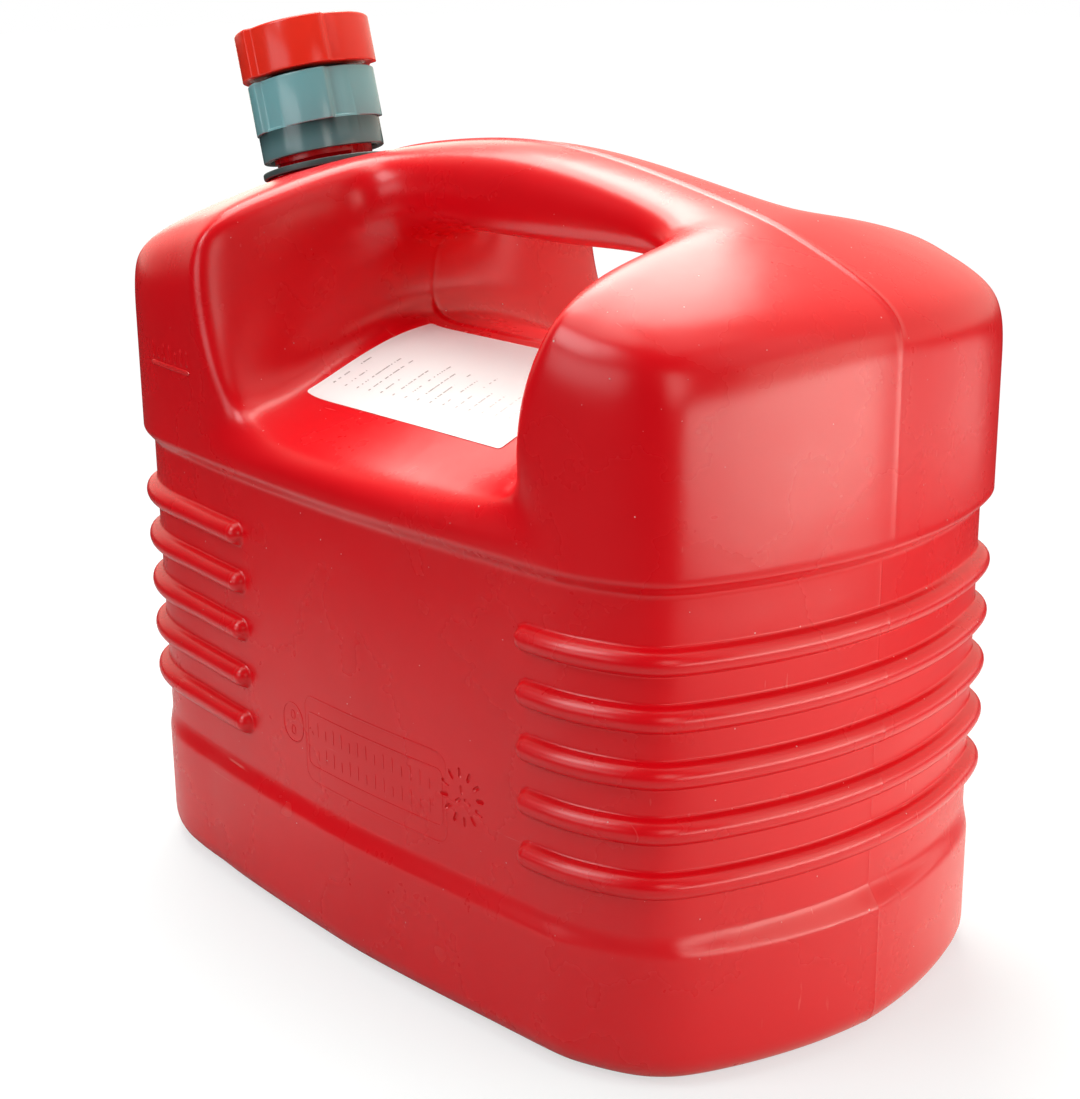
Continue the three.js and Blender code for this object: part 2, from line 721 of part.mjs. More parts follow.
// The label follows the floor of the recess: the floor's own facets, lifted by a gap, with a thickness,
// and trimmed to a rectangle
function labelSolid() {
  const chosen = fine.faces.filter((_, f) => fine.tags[f] === "floor");
  const lifted = (v, by) => fine.points[v].clone().add(new THREE.Vector3(0, 0, by));
  const faces = [];
  const sides = new Set();
  for (const face of chosen) {
    faces.push(face.map((v) => lifted(v, LABEL_GAP + LABEL_THICKNESS)));
    faces.push(face.map((v) => lifted(v, LABEL_GAP)).reverse());
    face.forEach((from, n) => sides.add(`${from}>${face[(n + 1) % 4]}`));
  }
  for (const side of sides) {
    const [from, to] = side.split(">").map(Number);
    if (sides.has(`${to}>${from}`)) continue;
    const top = LABEL_GAP + LABEL_THICKNESS;
    faces.push([lifted(from, LABEL_GAP), lifted(to, LABEL_GAP), lifted(to, top), lifted(from, top)]);
  }
  const trim = new THREE.BoxGeometry(LABEL_LENGTH, LABEL_DEPTH, HANDLE_UNDERSIDE);
  trim.translate(LABEL_MIDDLE_X, LABEL_MIDDLE_Y, HANDLE_UNDERSIDE / 2);
  return solidOf(geometryOfFaces(faces)).intersect(solidOf(trim));
}

// Closure, drawn about its own axis with height 0 at the lower edge of the nut

const NUT_TOP = SKIRT_HEIGHT + GRIP_HEIGHT;
const FLANGE_LOW = NECK_TOP + GASKET_THICKNESS + 2 * CLEARANCE;
const FLANGE_HIGH = FLANGE_LOW + FLANGE_THICKNESS;
const CAP_LOW = NUT_TOP + CAP_GAP;
const CAP_TOP = CAP_LOW + CAP_HEIGHT;
const LINER_TOP = CAP_TOP - CAP_ROOF - CLEARANCE;
const STUB_TOP = LINER_TOP - LINER_THICKNESS - CLEARANCE;
const SOCKET_LOW = FLANGE_LOW - SOCKET_DEPTH;
const HOSE_TOP = FLANGE_LOW - CLEARANCE;
const HOSE_LOW = HOSE_TOP - HOSE_LENGTH;

// A grip with ratchet lobes: the radius grows round each lobe and falls back in a step
function lobedSolid(radius, start, low, high) {
  const shape = new THREE.Shape();
  const perLobe = 8;
  for (let lobe = 0; lobe < LOBE_COUNT; lobe++) {
    for (let n = 0; n < perLobe; n++) {
      const share = n / (perLobe - 1);
      const turn = start + ((lobe + share) / LOBE_COUNT) * 2 * Math.PI;
      const reach = radius - LOBE_STEP * (1 - share);
      const step = n === 0 ? LOBE_STEP / radius : 0;
      const angle = turn + step;
      if (lobe === 0 && n === 0) shape.moveTo(reach * Math.cos(angle), reach * Math.sin(angle));
      else shape.lineTo(reach * Math.cos(angle), reach * Math.sin(angle));
    }
  }
  shape.closePath();
  const geometry = new THREE.ExtrudeGeometry(shape, { depth: high - low, bevelEnabled: false });
  geometry.translate(0, 0, low);
  return solidOf(geometry);
}

function nutSolid() {
  const skirt = turned([
    [0, 0],
    [SKIRT_RADIUS, 0],
    [SKIRT_RADIUS, SKIRT_HEIGHT + OVERRUN],
    [0, SKIRT_HEIGHT + OVERRUN],
  ]);
  const hollow = turned([
    [0, -OVERRUN],
    [NECK_RADIUS + CLEARANCE, -OVERRUN],
    [NECK_RADIUS + CLEARANCE, NUT_TOP - NUT_ROOF],
    [STUB_RADIUS + CLEARANCE, NUT_TOP - NUT_ROOF],
    [STUB_RADIUS + CLEARANCE, NUT_TOP + OVERRUN],
    [0, NUT_TOP + OVERRUN],
  ]);
  return skirt.add(lobedSolid(NUT_RADIUS, NUT_TURN, SKIRT_HEIGHT, NUT_TOP)).subtract(hollow);
}

function capSolid() {
  const softened = turned([
    [0, CAP_LOW - OVERRUN],
    [CAP_RADIUS + OVERRUN, CAP_LOW - OVERRUN],
    [CAP_RADIUS + OVERRUN, CAP_TOP - CAP_CHAMFER - OVERRUN],
    [CAP_RADIUS - CAP_CHAMFER, CAP_TOP],
    [0, CAP_TOP],
  ]);
  const hollow = turned([
    [0, CAP_LOW - OVERRUN],
    [STUB_RADIUS + CLEARANCE, CAP_LOW - OVERRUN],
    [STUB_RADIUS + CLEARANCE, CAP_TOP - CAP_ROOF],
    [0, CAP_TOP - CAP_ROOF],
  ]);
  return lobedSolid(CAP_RADIUS, CAP_TURN, CAP_LOW, CAP_TOP).intersect(softened).subtract(hollow);
}

function linerSolid() {
  return turned([
    [0, STUB_TOP + CLEARANCE],
    [STUB_RADIUS, STUB_TOP + CLEARANCE],
    [STUB_RADIUS, LINER_TOP],
    [0, LINER_TOP],
  ]);
}

function collarSolid() {
  return turned([
    [STUB_BORE, HOSE_TOP + CLEARANCE],
    [CUFF_RADIUS + CLEARANCE, HOSE_TOP + CLEARANCE],
    [CUFF_RADIUS + CLEARANCE, SOCKET_LOW],
    [SOCKET_RADIUS, SOCKET_LOW],
    [SOCKET_RADIUS, FLANGE_LOW],
    [NECK_RADIUS, FLANGE_LOW],
    [NECK_RADIUS, FLANGE_HIGH],
    [STUB_RADIUS, FLANGE_HIGH],
    [STUB_RADIUS, STUB_TOP],
    [STUB_BORE, STUB_TOP],
  ]);
}

// Ribbed hose with plain cuffs at both ends
function hoseSolid() {
  const ribHigh = HOSE_TOP - CUFF_LENGTH - SOCKET_DEPTH / 4;
  const ribLow = HOSE_LOW + CUFF_LENGTH + SOCKET_DEPTH / 4;
  const pitch = (ribHigh - ribLow) / HOSE_RIBS;
  const profile = [
    [HOSE_BORE, HOSE_TOP],
    [HOSE_BORE, HOSE_LOW],
    [CUFF_RADIUS, HOSE_LOW],
    [CUFF_RADIUS, ribLow],
  ];
  for (let n = 0; n < HOSE_RIBS; n++) {
    const foot = ribLow + n * pitch;
    profile.push([HOSE_RADIUS, foot + pitch / 2]);
    if (n < HOSE_RIBS - 1) profile.push([HOSE_WAIST, foot + pitch]);
  }
  profile.push([CUFF_RADIUS, ribHigh]);
  profile.push([CUFF_RADIUS, HOSE_TOP]);
  return turned(profile, HOSE_SIDES);
}

function nozzleSolid() {
  const top = HOSE_LOW + CUFF_LENGTH;
  const seat = HOSE_LOW - CLEARANCE;
  const tip = seat - NOZZLE_LENGTH;
  return turned(
    [
      [HOSE_BORE, seat],
      [NOZZLE_TIP_BORE, tip],
      [NOZZLE_TIP_RADIUS, tip],
      [HOSE_BORE + 2 * WALL, seat - WALL],
      [NOZZLE_SOCKET_RADIUS, seat],
      [NOZZLE_SOCKET_RADIUS, top],
      [CUFF_RADIUS + CLEARANCE, top],
      [CUFF_RADIUS + CLEARANCE, seat],
    ],
    HIDDEN_SIDES,
  );
}

// Materials and scene

function plastic(color, roughness) {
  return new THREE.MeshStandardMaterial({ color, roughness, metalness: 0 });
}

const TANK_RED = plastic(0xc8141e, 0.35);
const CAP_RED = plastic(0xe8322a, 0.3);
const NUT_GREY = plastic(0x6e9694, 0.4);
const RING_GREY = plastic(0x5f7f7c, 0.5);
const SEAL_BLACK = plastic(0x1c1c1c, 0.8);
const SPOUT_BLACK = plastic(0x26282a, 0.6);
const LABEL_WHITE = plastic(0xf4f4f2, 0.7);

function meshOf(name, solid, material) {
  const mesh = new THREE.Mesh(geometryOf(solid), material);
  mesh.name = name;
  return mesh;
}

const group = new THREE.Group();
group.add(meshOf("tank", tankSolid(), TANK_RED));
group.add(meshOf("instruction_label", labelSolid(), LABEL_WHITE));

const closure = new THREE.Group();
closure.position.set(NECK_X, 0, NECK_Z);
closure.rotation.y = -NECK_TILT;
const ringLow = BOSS_TOP + CLEARANCE;
const ringSolid = tubeSolid(RING_RADIUS, NECK_RADIUS + CLEARANCE, ringLow, ringLow + RING_THICKNESS);
const gasketLow = NECK_TOP + CLEARANCE;
const gasketSolid = tubeSolid(NECK_RADIUS, BORE_RADIUS, gasketLow, gasketLow + GASKET_THICKNESS);
closure.add(meshOf("neck_ring", ringSolid, RING_GREY));
closure.add(meshOf("nut_gasket", gasketSolid, SEAL_BLACK));
closure.add(meshOf("spout_collar", collarSolid(), SPOUT_BLACK));
closure.add(meshOf("spout_hose", hoseSolid(), SPOUT_BLACK));
closure.add(meshOf("spout_nozzle", nozzleSolid(), SPOUT_BLACK));
closure.add(meshOf("union_nut", nutSolid(), NUT_GREY));
closure.add(meshOf("cap_liner", linerSolid(), SEAL_BLACK));
closure.add(meshOf("cap", capSolid(), CAP_RED));
group.add(closure);

export default group;
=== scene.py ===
# The red fuel can dressed on its frame: moulded tank, label, closure and pouring spout.
# Sizes are in millimetres, as the part's are, and each mesh is scaled to metres when it is made.
import math

import bmesh
import bpy
import numpy as np
from mathutils import Matrix, Vector


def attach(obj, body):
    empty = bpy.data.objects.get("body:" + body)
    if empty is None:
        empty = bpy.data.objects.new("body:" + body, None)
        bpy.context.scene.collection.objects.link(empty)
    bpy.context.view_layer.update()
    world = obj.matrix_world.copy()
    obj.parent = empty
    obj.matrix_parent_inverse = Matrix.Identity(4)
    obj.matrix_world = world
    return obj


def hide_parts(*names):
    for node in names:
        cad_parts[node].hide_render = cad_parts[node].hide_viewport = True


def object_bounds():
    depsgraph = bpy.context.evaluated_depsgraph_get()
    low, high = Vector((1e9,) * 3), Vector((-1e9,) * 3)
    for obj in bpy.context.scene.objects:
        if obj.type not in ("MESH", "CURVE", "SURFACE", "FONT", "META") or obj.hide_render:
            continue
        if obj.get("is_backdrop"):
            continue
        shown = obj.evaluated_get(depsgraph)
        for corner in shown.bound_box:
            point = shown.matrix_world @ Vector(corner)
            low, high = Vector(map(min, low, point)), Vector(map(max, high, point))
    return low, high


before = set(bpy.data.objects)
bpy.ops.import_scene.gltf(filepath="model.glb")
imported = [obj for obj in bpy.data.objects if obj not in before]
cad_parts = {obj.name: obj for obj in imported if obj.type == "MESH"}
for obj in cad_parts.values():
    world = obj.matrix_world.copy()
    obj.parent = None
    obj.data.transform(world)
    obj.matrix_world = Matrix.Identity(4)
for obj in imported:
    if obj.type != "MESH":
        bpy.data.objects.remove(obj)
CAD_BOX = [list(corner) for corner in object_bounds()]
MM = 0.001

# Plan and bands of the tank
HALF_LENGTH, HALF_WIDTH = 162, 97.3
SIDE_BOW, END_BOW, CORNER_ROUND = 938.6, 166.2, 41.3
FOOT_ROUND, PLINTH_HEIGHT, LEDGE_RISE = 10.8, 45.4, 6.3
BELT_TOP, SHOULDER_Z = 161.6, 167.0
END_INSET, SIDE_INSET, PLINTH_CORNER_INSET = 4.7, 2.9, 3
BASE_PANEL_RIM, BASE_PANEL_DEPTH = 20.9, 3

# The arched top and the hand recess
ARCH_TOP, ARCH_SLOPE, ARCH_TURN = 278, 0.42, 115
CROWN_DROP, RIM_DROP, END_RIM_DROP = 9, 19.5, 4.2
FRONT_WALL_X, REAR_WALL_X = -59.6, 83.6
FRONT_FLARE, REAR_FLARE = 4.5, 7.3
FRONT_MOUTH_DEPTH, REAR_MOUTH_DEPTH = 20, 10
REAR_LEAN, REAR_BULGE = 8.4, 10
ARMPIT_DEPTH, ARMPIT_RISE = 20, 5
HANDLE_HALF_WIDTH, HIP_Y = 24.6, 62.7
FLOOR_SHARES, UNDERSIDE_SHARE = (0.3586, 0.1937, 0.1063), 0.6802

# Ribs, mould seam and neck
RIB_HEIGHTS = [141.5 - 18 * n for n in range(5)]
RIB_RADIUS, RIB_FILLET = 4.3, 4.75
FRONT_RIB_END_X, REAR_RIB_END_X = -60, 96.5
SEAM_HALF, SEAM_RAISE, SEAM_TOP_RAISE = 0.6, 0.13, 0.65
NECK_TILT = math.radians(15.3)
NECK_AT = Vector((-125.4, 0, 261.9))
NECK_RADIUS, NECK_CORE, NECK_TOP, NECK_ROOT = 20.1, 18.7, 20.9, -16.7
SKIRT_HEIGHT, NECK_PITCH = 10.6, 6
BORE_RADIUS, BOSS_RADIUS, BOSS_TOP = 17.1, 23.5, -6.6
CLOSURE = Matrix.Translation(NECK_AT) @ Matrix.Rotation(-NECK_TILT, 4, "Y")


# Node and mesh helpers


class Web:
    """Adds and links the nodes of one tree. A kind without Node in its name is a shader node."""

    def __init__(self, tree):
        self.tree = tree

    def node(self, kind, settings=None, **inputs):
        """A new node with its settings and inputs. The keys n0, n1 and so on give inputs by number."""
        made = self.tree.nodes.new(kind if "Node" in kind else "ShaderNode" + kind)
        for key, value in (settings or {}).items():
            setattr(made, key, value)
        for key, value in inputs.items():
            self.feed(made, key.replace("_", " "), value)
        return made

    def result(self, kind, settings=None, **inputs):
        """The first output of a new node."""
        return self.node(kind, settings, **inputs).outputs[0]

    def feed(self, made, key, value):
        by_number = key[0] == "n" and key[1:].isdigit()
        socket = made.inputs[int(key[1:]) if by_number else key]
        if isinstance(value, bpy.types.NodeSocket):
            self.tree.links.new(value, socket)
        else:
            socket.default_value = value

    def math(self, operation, a, b=None, c=None, clamp=False):
        made = self.node("Math", dict(operation=operation, use_clamp=clamp))
        for n, value in enumerate((a, b, c)):
            if value is not None:
                self.feed(made, f"n{n}", value)
        return made.outputs[0]

    def product(self, value, *others):
        for other in others:
            value = self.math("MULTIPLY", value, other)
        return value

    def between(self, value, low, high):
        """One where the value lies between two others, zero elsewhere."""
        return self.product(self.math("GREATER_THAN", value, low), self.math("LESS_THAN", value, high))

    def vector_math(self, operation, **inputs):
        return self.node("VectorMath", dict(operation=operation), **inputs).outputs

    def ramp(self, value, low, high, to_low=0.0, to_high=1.0, smooth=True):
        kind = dict(interpolation_type="SMOOTHSTEP" if smooth else "LINEAR")
        return self.result(
            "MapRange", kind, Value=value, From_Min=low, From_Max=high, To_Min=to_low, To_Max=to_high
        )

    def noise(self, place, scale, detail=3.0, roughness=0.55):
        return self.result("TexNoise", Vector=place, Scale=scale, Detail=detail, Roughness=roughness)

    def mix(self, factor, a, b):
        """Mixes two colours. Its other kinds' sockets share their names, so these go by number."""
        return self.node("Mix", dict(data_type="RGBA"), n0=factor, n6=a, n7=b).outputs[2]

    def stretch(self, place, scale, turn=(0, 0, 0)):
        return self.result("Mapping", Vector=place, Scale=scale, Rotation=turn)


def mesh_of(name, verts, faces):
    """A piece from points in millimetres and its faces."""
    data = bpy.data.meshes.new(name)
    data.from_pydata([tuple(MM * c for c in v) for v in verts], [], faces)
    return shaded(linked(name, data))


def linked(name, data):
    piece = bpy.data.objects.new(name, data)
    bpy.context.scene.collection.objects.link(piece)
    return piece


def shaded(piece, angle=32):
    """The piece shaded smooth but for folds sharper than an angle in degrees."""
    piece.data.update()
    piece.data.shade_smooth()
    piece.data.set_sharp_from_angle(angle=math.radians(angle))
    return piece


def opened(piece):
    """The piece's mesh, open for editing."""
    shape = bmesh.new()
    shape.from_mesh(piece.data)
    return shape


def written(shape, piece):
    """Ends the editing: the piece has the edited mesh."""
    shape.to_mesh(piece.data)
    shape.free()
    return piece


def tidied(piece):
    """Merges doubles and turns every face outwards."""
    shape = opened(piece)
    bmesh.ops.remove_doubles(shape, verts=shape.verts, dist=1e-6)
    bmesh.ops.recalc_face_normals(shape, faces=shape.faces)
    return written(shape, piece)


def settled(piece):
    """The piece with its modifiers applied."""
    bpy.context.view_layer.update()
    graph = bpy.context.evaluated_depsgraph_get()
    done = bpy.data.meshes.new_from_object(piece.evaluated_get(graph), depsgraph=graph)
    old = piece.data
    piece.modifiers.clear()
    piece.data = done
    bpy.data.meshes.remove(old)
    return piece


def joined_by(kind, piece, other):
    """Boolean union or difference of two closed pieces, the second of which is used up."""
    cut = piece.modifiers.new("cut", "BOOLEAN")
    cut.operation = kind
    cut.solver = "MANIFOLD"
    cut.object = other
    settled(piece)
    bpy.data.objects.remove(other)
    return piece


def lathe(name, profile, sides=96):
    """A solid turned about the closure's axis from a closed loop of (radius, height) points."""
    turns = np.linspace(0, 2 * math.pi, sides, endpoint=False)
    verts, faces, starts = [], [], []
    for r, h in profile:
        starts.append(len(verts))
        verts.extend([(0, 0, h)] if r == 0 else [(r * math.cos(a), r * math.sin(a), h) for a in turns])
    count = len(profile)
    for n in range(count):
        m = (n + 1) % count
        low, high = starts[n], starts[m]
        if profile[n][0] == 0 and profile[m][0] == 0:
            continue
        for s in range(sides):
            t = (s + 1) % sides
            if profile[n][0] == 0:
                faces.append((low, high + t, high + s))
            elif profile[m][0] == 0:
                faces.append((low + s, low + t, high))
            else:
                faces.append((low + s, low + t, high + t, high + s))
    return shaded(tidied(mesh_of(name, [CLOSURE @ Vector(v) for v in verts], faces)))


def rounded(profile, radius, steps=3):
    """The profile with its corners rounded where a radius fits."""
    soft = []
    count = len(profile)
    for n, here in enumerate(profile):
        before, after = Vector(profile[n - 1]), Vector(profile[(n + 1) % count])
        here = Vector(here)
        back, ahead = before - here, after - here
        reach = min(radius, back.length * 0.45, ahead.length * 0.45)
        if here.x == 0 or reach < 0.05 or back.angle(ahead) > math.radians(158):
            soft.append(tuple(here))
            continue
        start, end = here + back.normalized() * reach, here + ahead.normalized() * reach
        for k in range(steps + 1):
            t = k / steps
            point = (1 - t) ** 2 * start + 2 * t * (1 - t) * here + t * t * end
            soft.append(tuple(point))
    return soft


# Shader groups, each built once and used by several materials


def add_inputs(tree, inputs):
    """Adds an input for each key: a number is its default and gives its kind, a word is only its kind."""
    for key, value in inputs.items():
        kind = value if isinstance(value, str) else {float: "Float", int: "Int"}[type(value)]
        name = key.replace("_", " ")
        socket = tree.interface.new_socket(name, in_out="INPUT", socket_type=f"NodeSocket{kind}")
        if value is not kind:
            socket.default_value = value


def shade_group(name, inputs, outputs):
    """A new shader group: its helper, its inputs in order and its output node."""
    tree = bpy.data.node_groups.new(name, "ShaderNodeTree")
    add_inputs(tree, inputs)
    for key, kind in outputs.items():
        tree.interface.new_socket(key, in_out="OUTPUT", socket_type=f"NodeSocket{kind}")
    given = tree.nodes.new("NodeGroupInput").outputs
    return Web(tree), [given[key] for key in inputs], tree.nodes.new("NodeGroupOutput")


def moulded_surface():
    """The wavy sag, orange peel and grain of a moulded wall, as a bump."""
    shade, (place, peel, grain, size), result = shade_group(
        "moulded_surface", dict(Place="Vector", Peel=0.5, Grain=0.5, Size=1.0), dict(Normal="Vector")
    )
    layers = (
        (22, 2.0, 0.5, peel, 0.0012),
        (120, 1.0, 0.4, peel, 0.00022),
        (900, 3.0, 0.6, grain, 0.00004),
    )
    normal = None
    for scale, detail, roughness, strength, depth in layers:
        height = shade.noise(place, shade.product(size, scale), detail, roughness)
        bump = shade.node("Bump", Strength=strength, Distance=depth, Height=height)
        if normal is not None:
            shade.feed(bump, "Normal", normal)
        normal = bump.outputs[0]
    shade.feed(result, "Normal", normal)
    return shade.tree


def dust_specks():
    """Sparse white specks, denser on faces that look up."""
    shade, (place, facing, amount), result = shade_group(
        "dust_specks", dict(Place="Vector", Facing="Vector", Amount=0.5), dict(Mask="Float")
    )
    up = shade.node("SeparateXYZ", Vector=facing).outputs["Z"]
    settled_dust = shade.ramp(up, -0.2, 0.9, 0.35, 1.0)
    total = 0.0
    for scale, share, radius in ((520, 0.07, 0.11), (260, 0.05, 0.07), (120, 0.04, 0.035)):
        cells = shade.node("TexVoronoi", Vector=place, Scale=scale).outputs
        chance = shade.node("SeparateColor", Color=cells["Color"]).outputs
        limit = shade.math("SUBTRACT", 1.0, shade.product(amount, settled_dust, share))
        chosen = shade.math("GREATER_THAN", chance["Red"], limit)
        width = shade.product(shade.math("ADD", chance["Green"], 0.35), radius)
        dot = shade.math("LESS_THAN", cells["Distance"], width)
        faint = shade.math("MULTIPLY_ADD", chance["Blue"], 0.5, 0.1)
        total = shade.math("MAXIMUM", shade.product(chosen, dot, faint), total)
    shade.feed(result, "Mask", total)
    return shade.tree


def scuff_marks():
    """Short fine scratches in two directions and faint smudges."""
    shade, (place, amount, size), result = shade_group(
        "scuff_marks", dict(Place="Vector", Amount=0.5, Size=1.0), dict(Scratches="Float", Smudges="Float")
    )
    total = 0.0
    for turn, more in (((0.5, 0.3, 0.7), 0), ((-0.4, 1.2, -0.5), 7)):
        lines = shade.stretch(place, (14 + more, 420, 60), turn)
        thin = shade.ramp(shade.noise(lines, size, 2.0, 0.5), 0.69, 0.73)
        turned = shade.stretch(place, (1, 1, 1), turn)
        where = shade.noise(turned, shade.product(size, 26 + more), 2.0, 0.5)
        scratch = shade.product(shade.ramp(where, 0.6, 0.72), thin)
        total = shade.math("MAXIMUM", scratch, total)
    shade.feed(result, "Scratches", shade.product(total, amount))
    smudge = shade.ramp(shade.noise(place, shade.product(size, 17), 5.0, 0.6), 0.45, 0.75)
    shade.feed(result, "Smudges", shade.product(smudge, amount))
    return shade.tree


def edge_light():
    """Where a fold is sharp, from the difference between the true and a rounded normal."""
    shade, (facing, radius), result = shade_group(
        "edge_light", dict(Facing="Vector", Radius=0.0006), dict(Mask="Float")
    )
    soft = shade.result("Bevel", dict(samples=4), Radius=radius)
    dot = shade.vector_math("DOT_PRODUCT", n0=soft, n1=facing)["Value"]
    shade.feed(result, "Mask", shade.ramp(dot, 0.995, 0.93))
    return shade.tree


SURFACE, DUST, SCUFFS, EDGES = moulded_surface(), dust_specks(), scuff_marks(), edge_light()


# Materials


def new_material(name):
    """A new material: itself, its helper, its shader, and the place and facing of the point shaded."""
    made = bpy.data.materials.new(name)
    made.use_nodes = True
    made.node_tree.nodes.clear()
    shade = Web(made.node_tree)
    shader = shade.node("BsdfPrincipled")
    out_node = shade.node("OutputMaterial")
    made.node_tree.links.new(shader.outputs["BSDF"], out_node.inputs["Surface"])
    place = shade.node("TexCoord")
    return made, shade, shader, place.outputs["Object"], place.outputs["Normal"]


def grouped(shade, tree, **inputs):
    """The outputs of a shader group set in a material."""
    return shade.node("Group", dict(node_tree=tree), **inputs).outputs


def plastic(name, colour, pale, rough, peel, grain, dust, scuff, size=1.0, edges=0.0):
    """Moulded plastic: drifts of its colour, peel and grain, dust, scratches, rubbed patches, and pale sharp
    edges that are part wear and part painted highlight.
    """
    made, shade, shader, place, facing = new_material(name)
    surface = grouped(shade, SURFACE, Place=place, Peel=peel, Grain=grain, Size=size)
    scuffs = grouped(shade, SCUFFS, Place=place, Amount=scuff, Size=size)
    specks = grouped(shade, DUST, Place=place, Facing=facing, Amount=dust)
    drift = shade.ramp(shade.noise(place, 9, 3.0), 0.3, 0.7)
    darker = tuple(0.9 * c for c in colour[:3]) + (1,)
    dust_colour = (0.86, 0.82, 0.8, 1)
    base = shade.mix(drift, colour, darker)
    # Sharp folds are mixed towards the pale colour: partly edge wear, partly a painted highlight along the
    # edges.
    if edges:
        edge_wear_and_highlight = grouped(shade, EDGES, Facing=facing, Radius=0.0005)["Mask"]
        patchy = shade.ramp(shade.noise(place, 160, 3.0), 0.3, 0.6, 0.35, 1.0)
        base = shade.mix(shade.product(edge_wear_and_highlight, patchy, edges), base, pale)
    base = shade.mix(scuffs["Scratches"], base, pale)
    base = shade.mix(specks["Mask"], base, dust_colour)
    shade.feed(shader, "Base Color", base)
    worn = shade.math("MULTIPLY_ADD", scuffs["Smudges"], 0.1, rough)
    worn = shade.math("MULTIPLY_ADD", scuffs["Scratches"], 0.2, worn)
    shade.feed(shader, "Roughness", shade.math("MULTIPLY_ADD", specks["Mask"], 0.4, worn, clamp=True))
    shade.feed(shader, "Normal", surface["Normal"])
    return made, shade, shader, place


def tinted(shade, shader, share, colour):
    """Mixes a colour over the shader's own, as far as the share says."""
    plain = shader.inputs["Base Color"].links[0].from_socket
    shade.feed(shader, "Base Color", shade.mix(share, plain, colour))


def tank_material():
    """Red polyethylene, scraped white in short strokes along the rim of the plinth and the lowest rib."""
    made, shade, shader, place = plastic(
        "red_polyethylene", (0.83, 0.0014, 0.008, 1), (0.85, 0.16, 0.13, 1),
        rough=0.27, peel=0.3, grain=0.25, dust=0.9, scuff=0.4,
    )
    shader.inputs["Specular IOR Level"].default_value = 0.58
    high = shade.node("SeparateXYZ", Vector=place).outputs["Z"]
    plinth_rim, lowest_rib, half = 46.5 * MM, 72.5 * MM, 6 * MM
    scraped = 0.0
    for middle in (plinth_rim, lowest_rib):
        off = shade.math("ABSOLUTE", shade.math("SUBTRACT", high, middle))
        scraped = shade.math("MAXIMUM", shade.ramp(off, half, half / 4), scraped)
    strokes = shade.ramp(shade.noise(shade.stretch(place, (26, 26, 700)), 1.0, 3.0, 0.6), 0.66, 0.74)
    where = shade.ramp(shade.noise(place, 19, 3.0), 0.5, 0.62)
    tinted(shade, shader, shade.product(scraped, strokes, where, 0.5), (0.9, 0.45, 0.38, 1))
    return made


def nut_material():
    """Grey-green plastic, its skirt darkened with painted shade under the overhang of the grip."""
    made, shade, shader, place = plastic(
        "grey_green_nut", (0.2, 0.54, 0.58, 1), (0.55, 0.74, 0.74, 1),
        rough=0.18, peel=0.16, grain=0.25, dust=0.4, scuff=0.4, size=1.4, edges=0.5,
    )
    axis = CLOSURE.to_3x3() @ Vector((0, 0, 1))
    along = shade.vector_math("DOT_PRODUCT", n0=place, n1=axis)["Value"]
    high = shade.math("SUBTRACT", along, NECK_AT.dot(axis) * MM)
    on_skirt = shade.math("LESS_THAN", high, SKIRT_HEIGHT * MM)
    # Painted shade: the skirt is darkened all over, most just under the grip's lower edge.
    painted_shade = shade.product(shade.ramp(high, 2 * MM, SKIRT_HEIGHT * MM, 0.5, 0.84), on_skirt)
    tinted(shade, shader, painted_shade, (0.01, 0.03, 0.03, 1))
    shader.inputs["Specular IOR Level"].default_value = 0.7
    return made


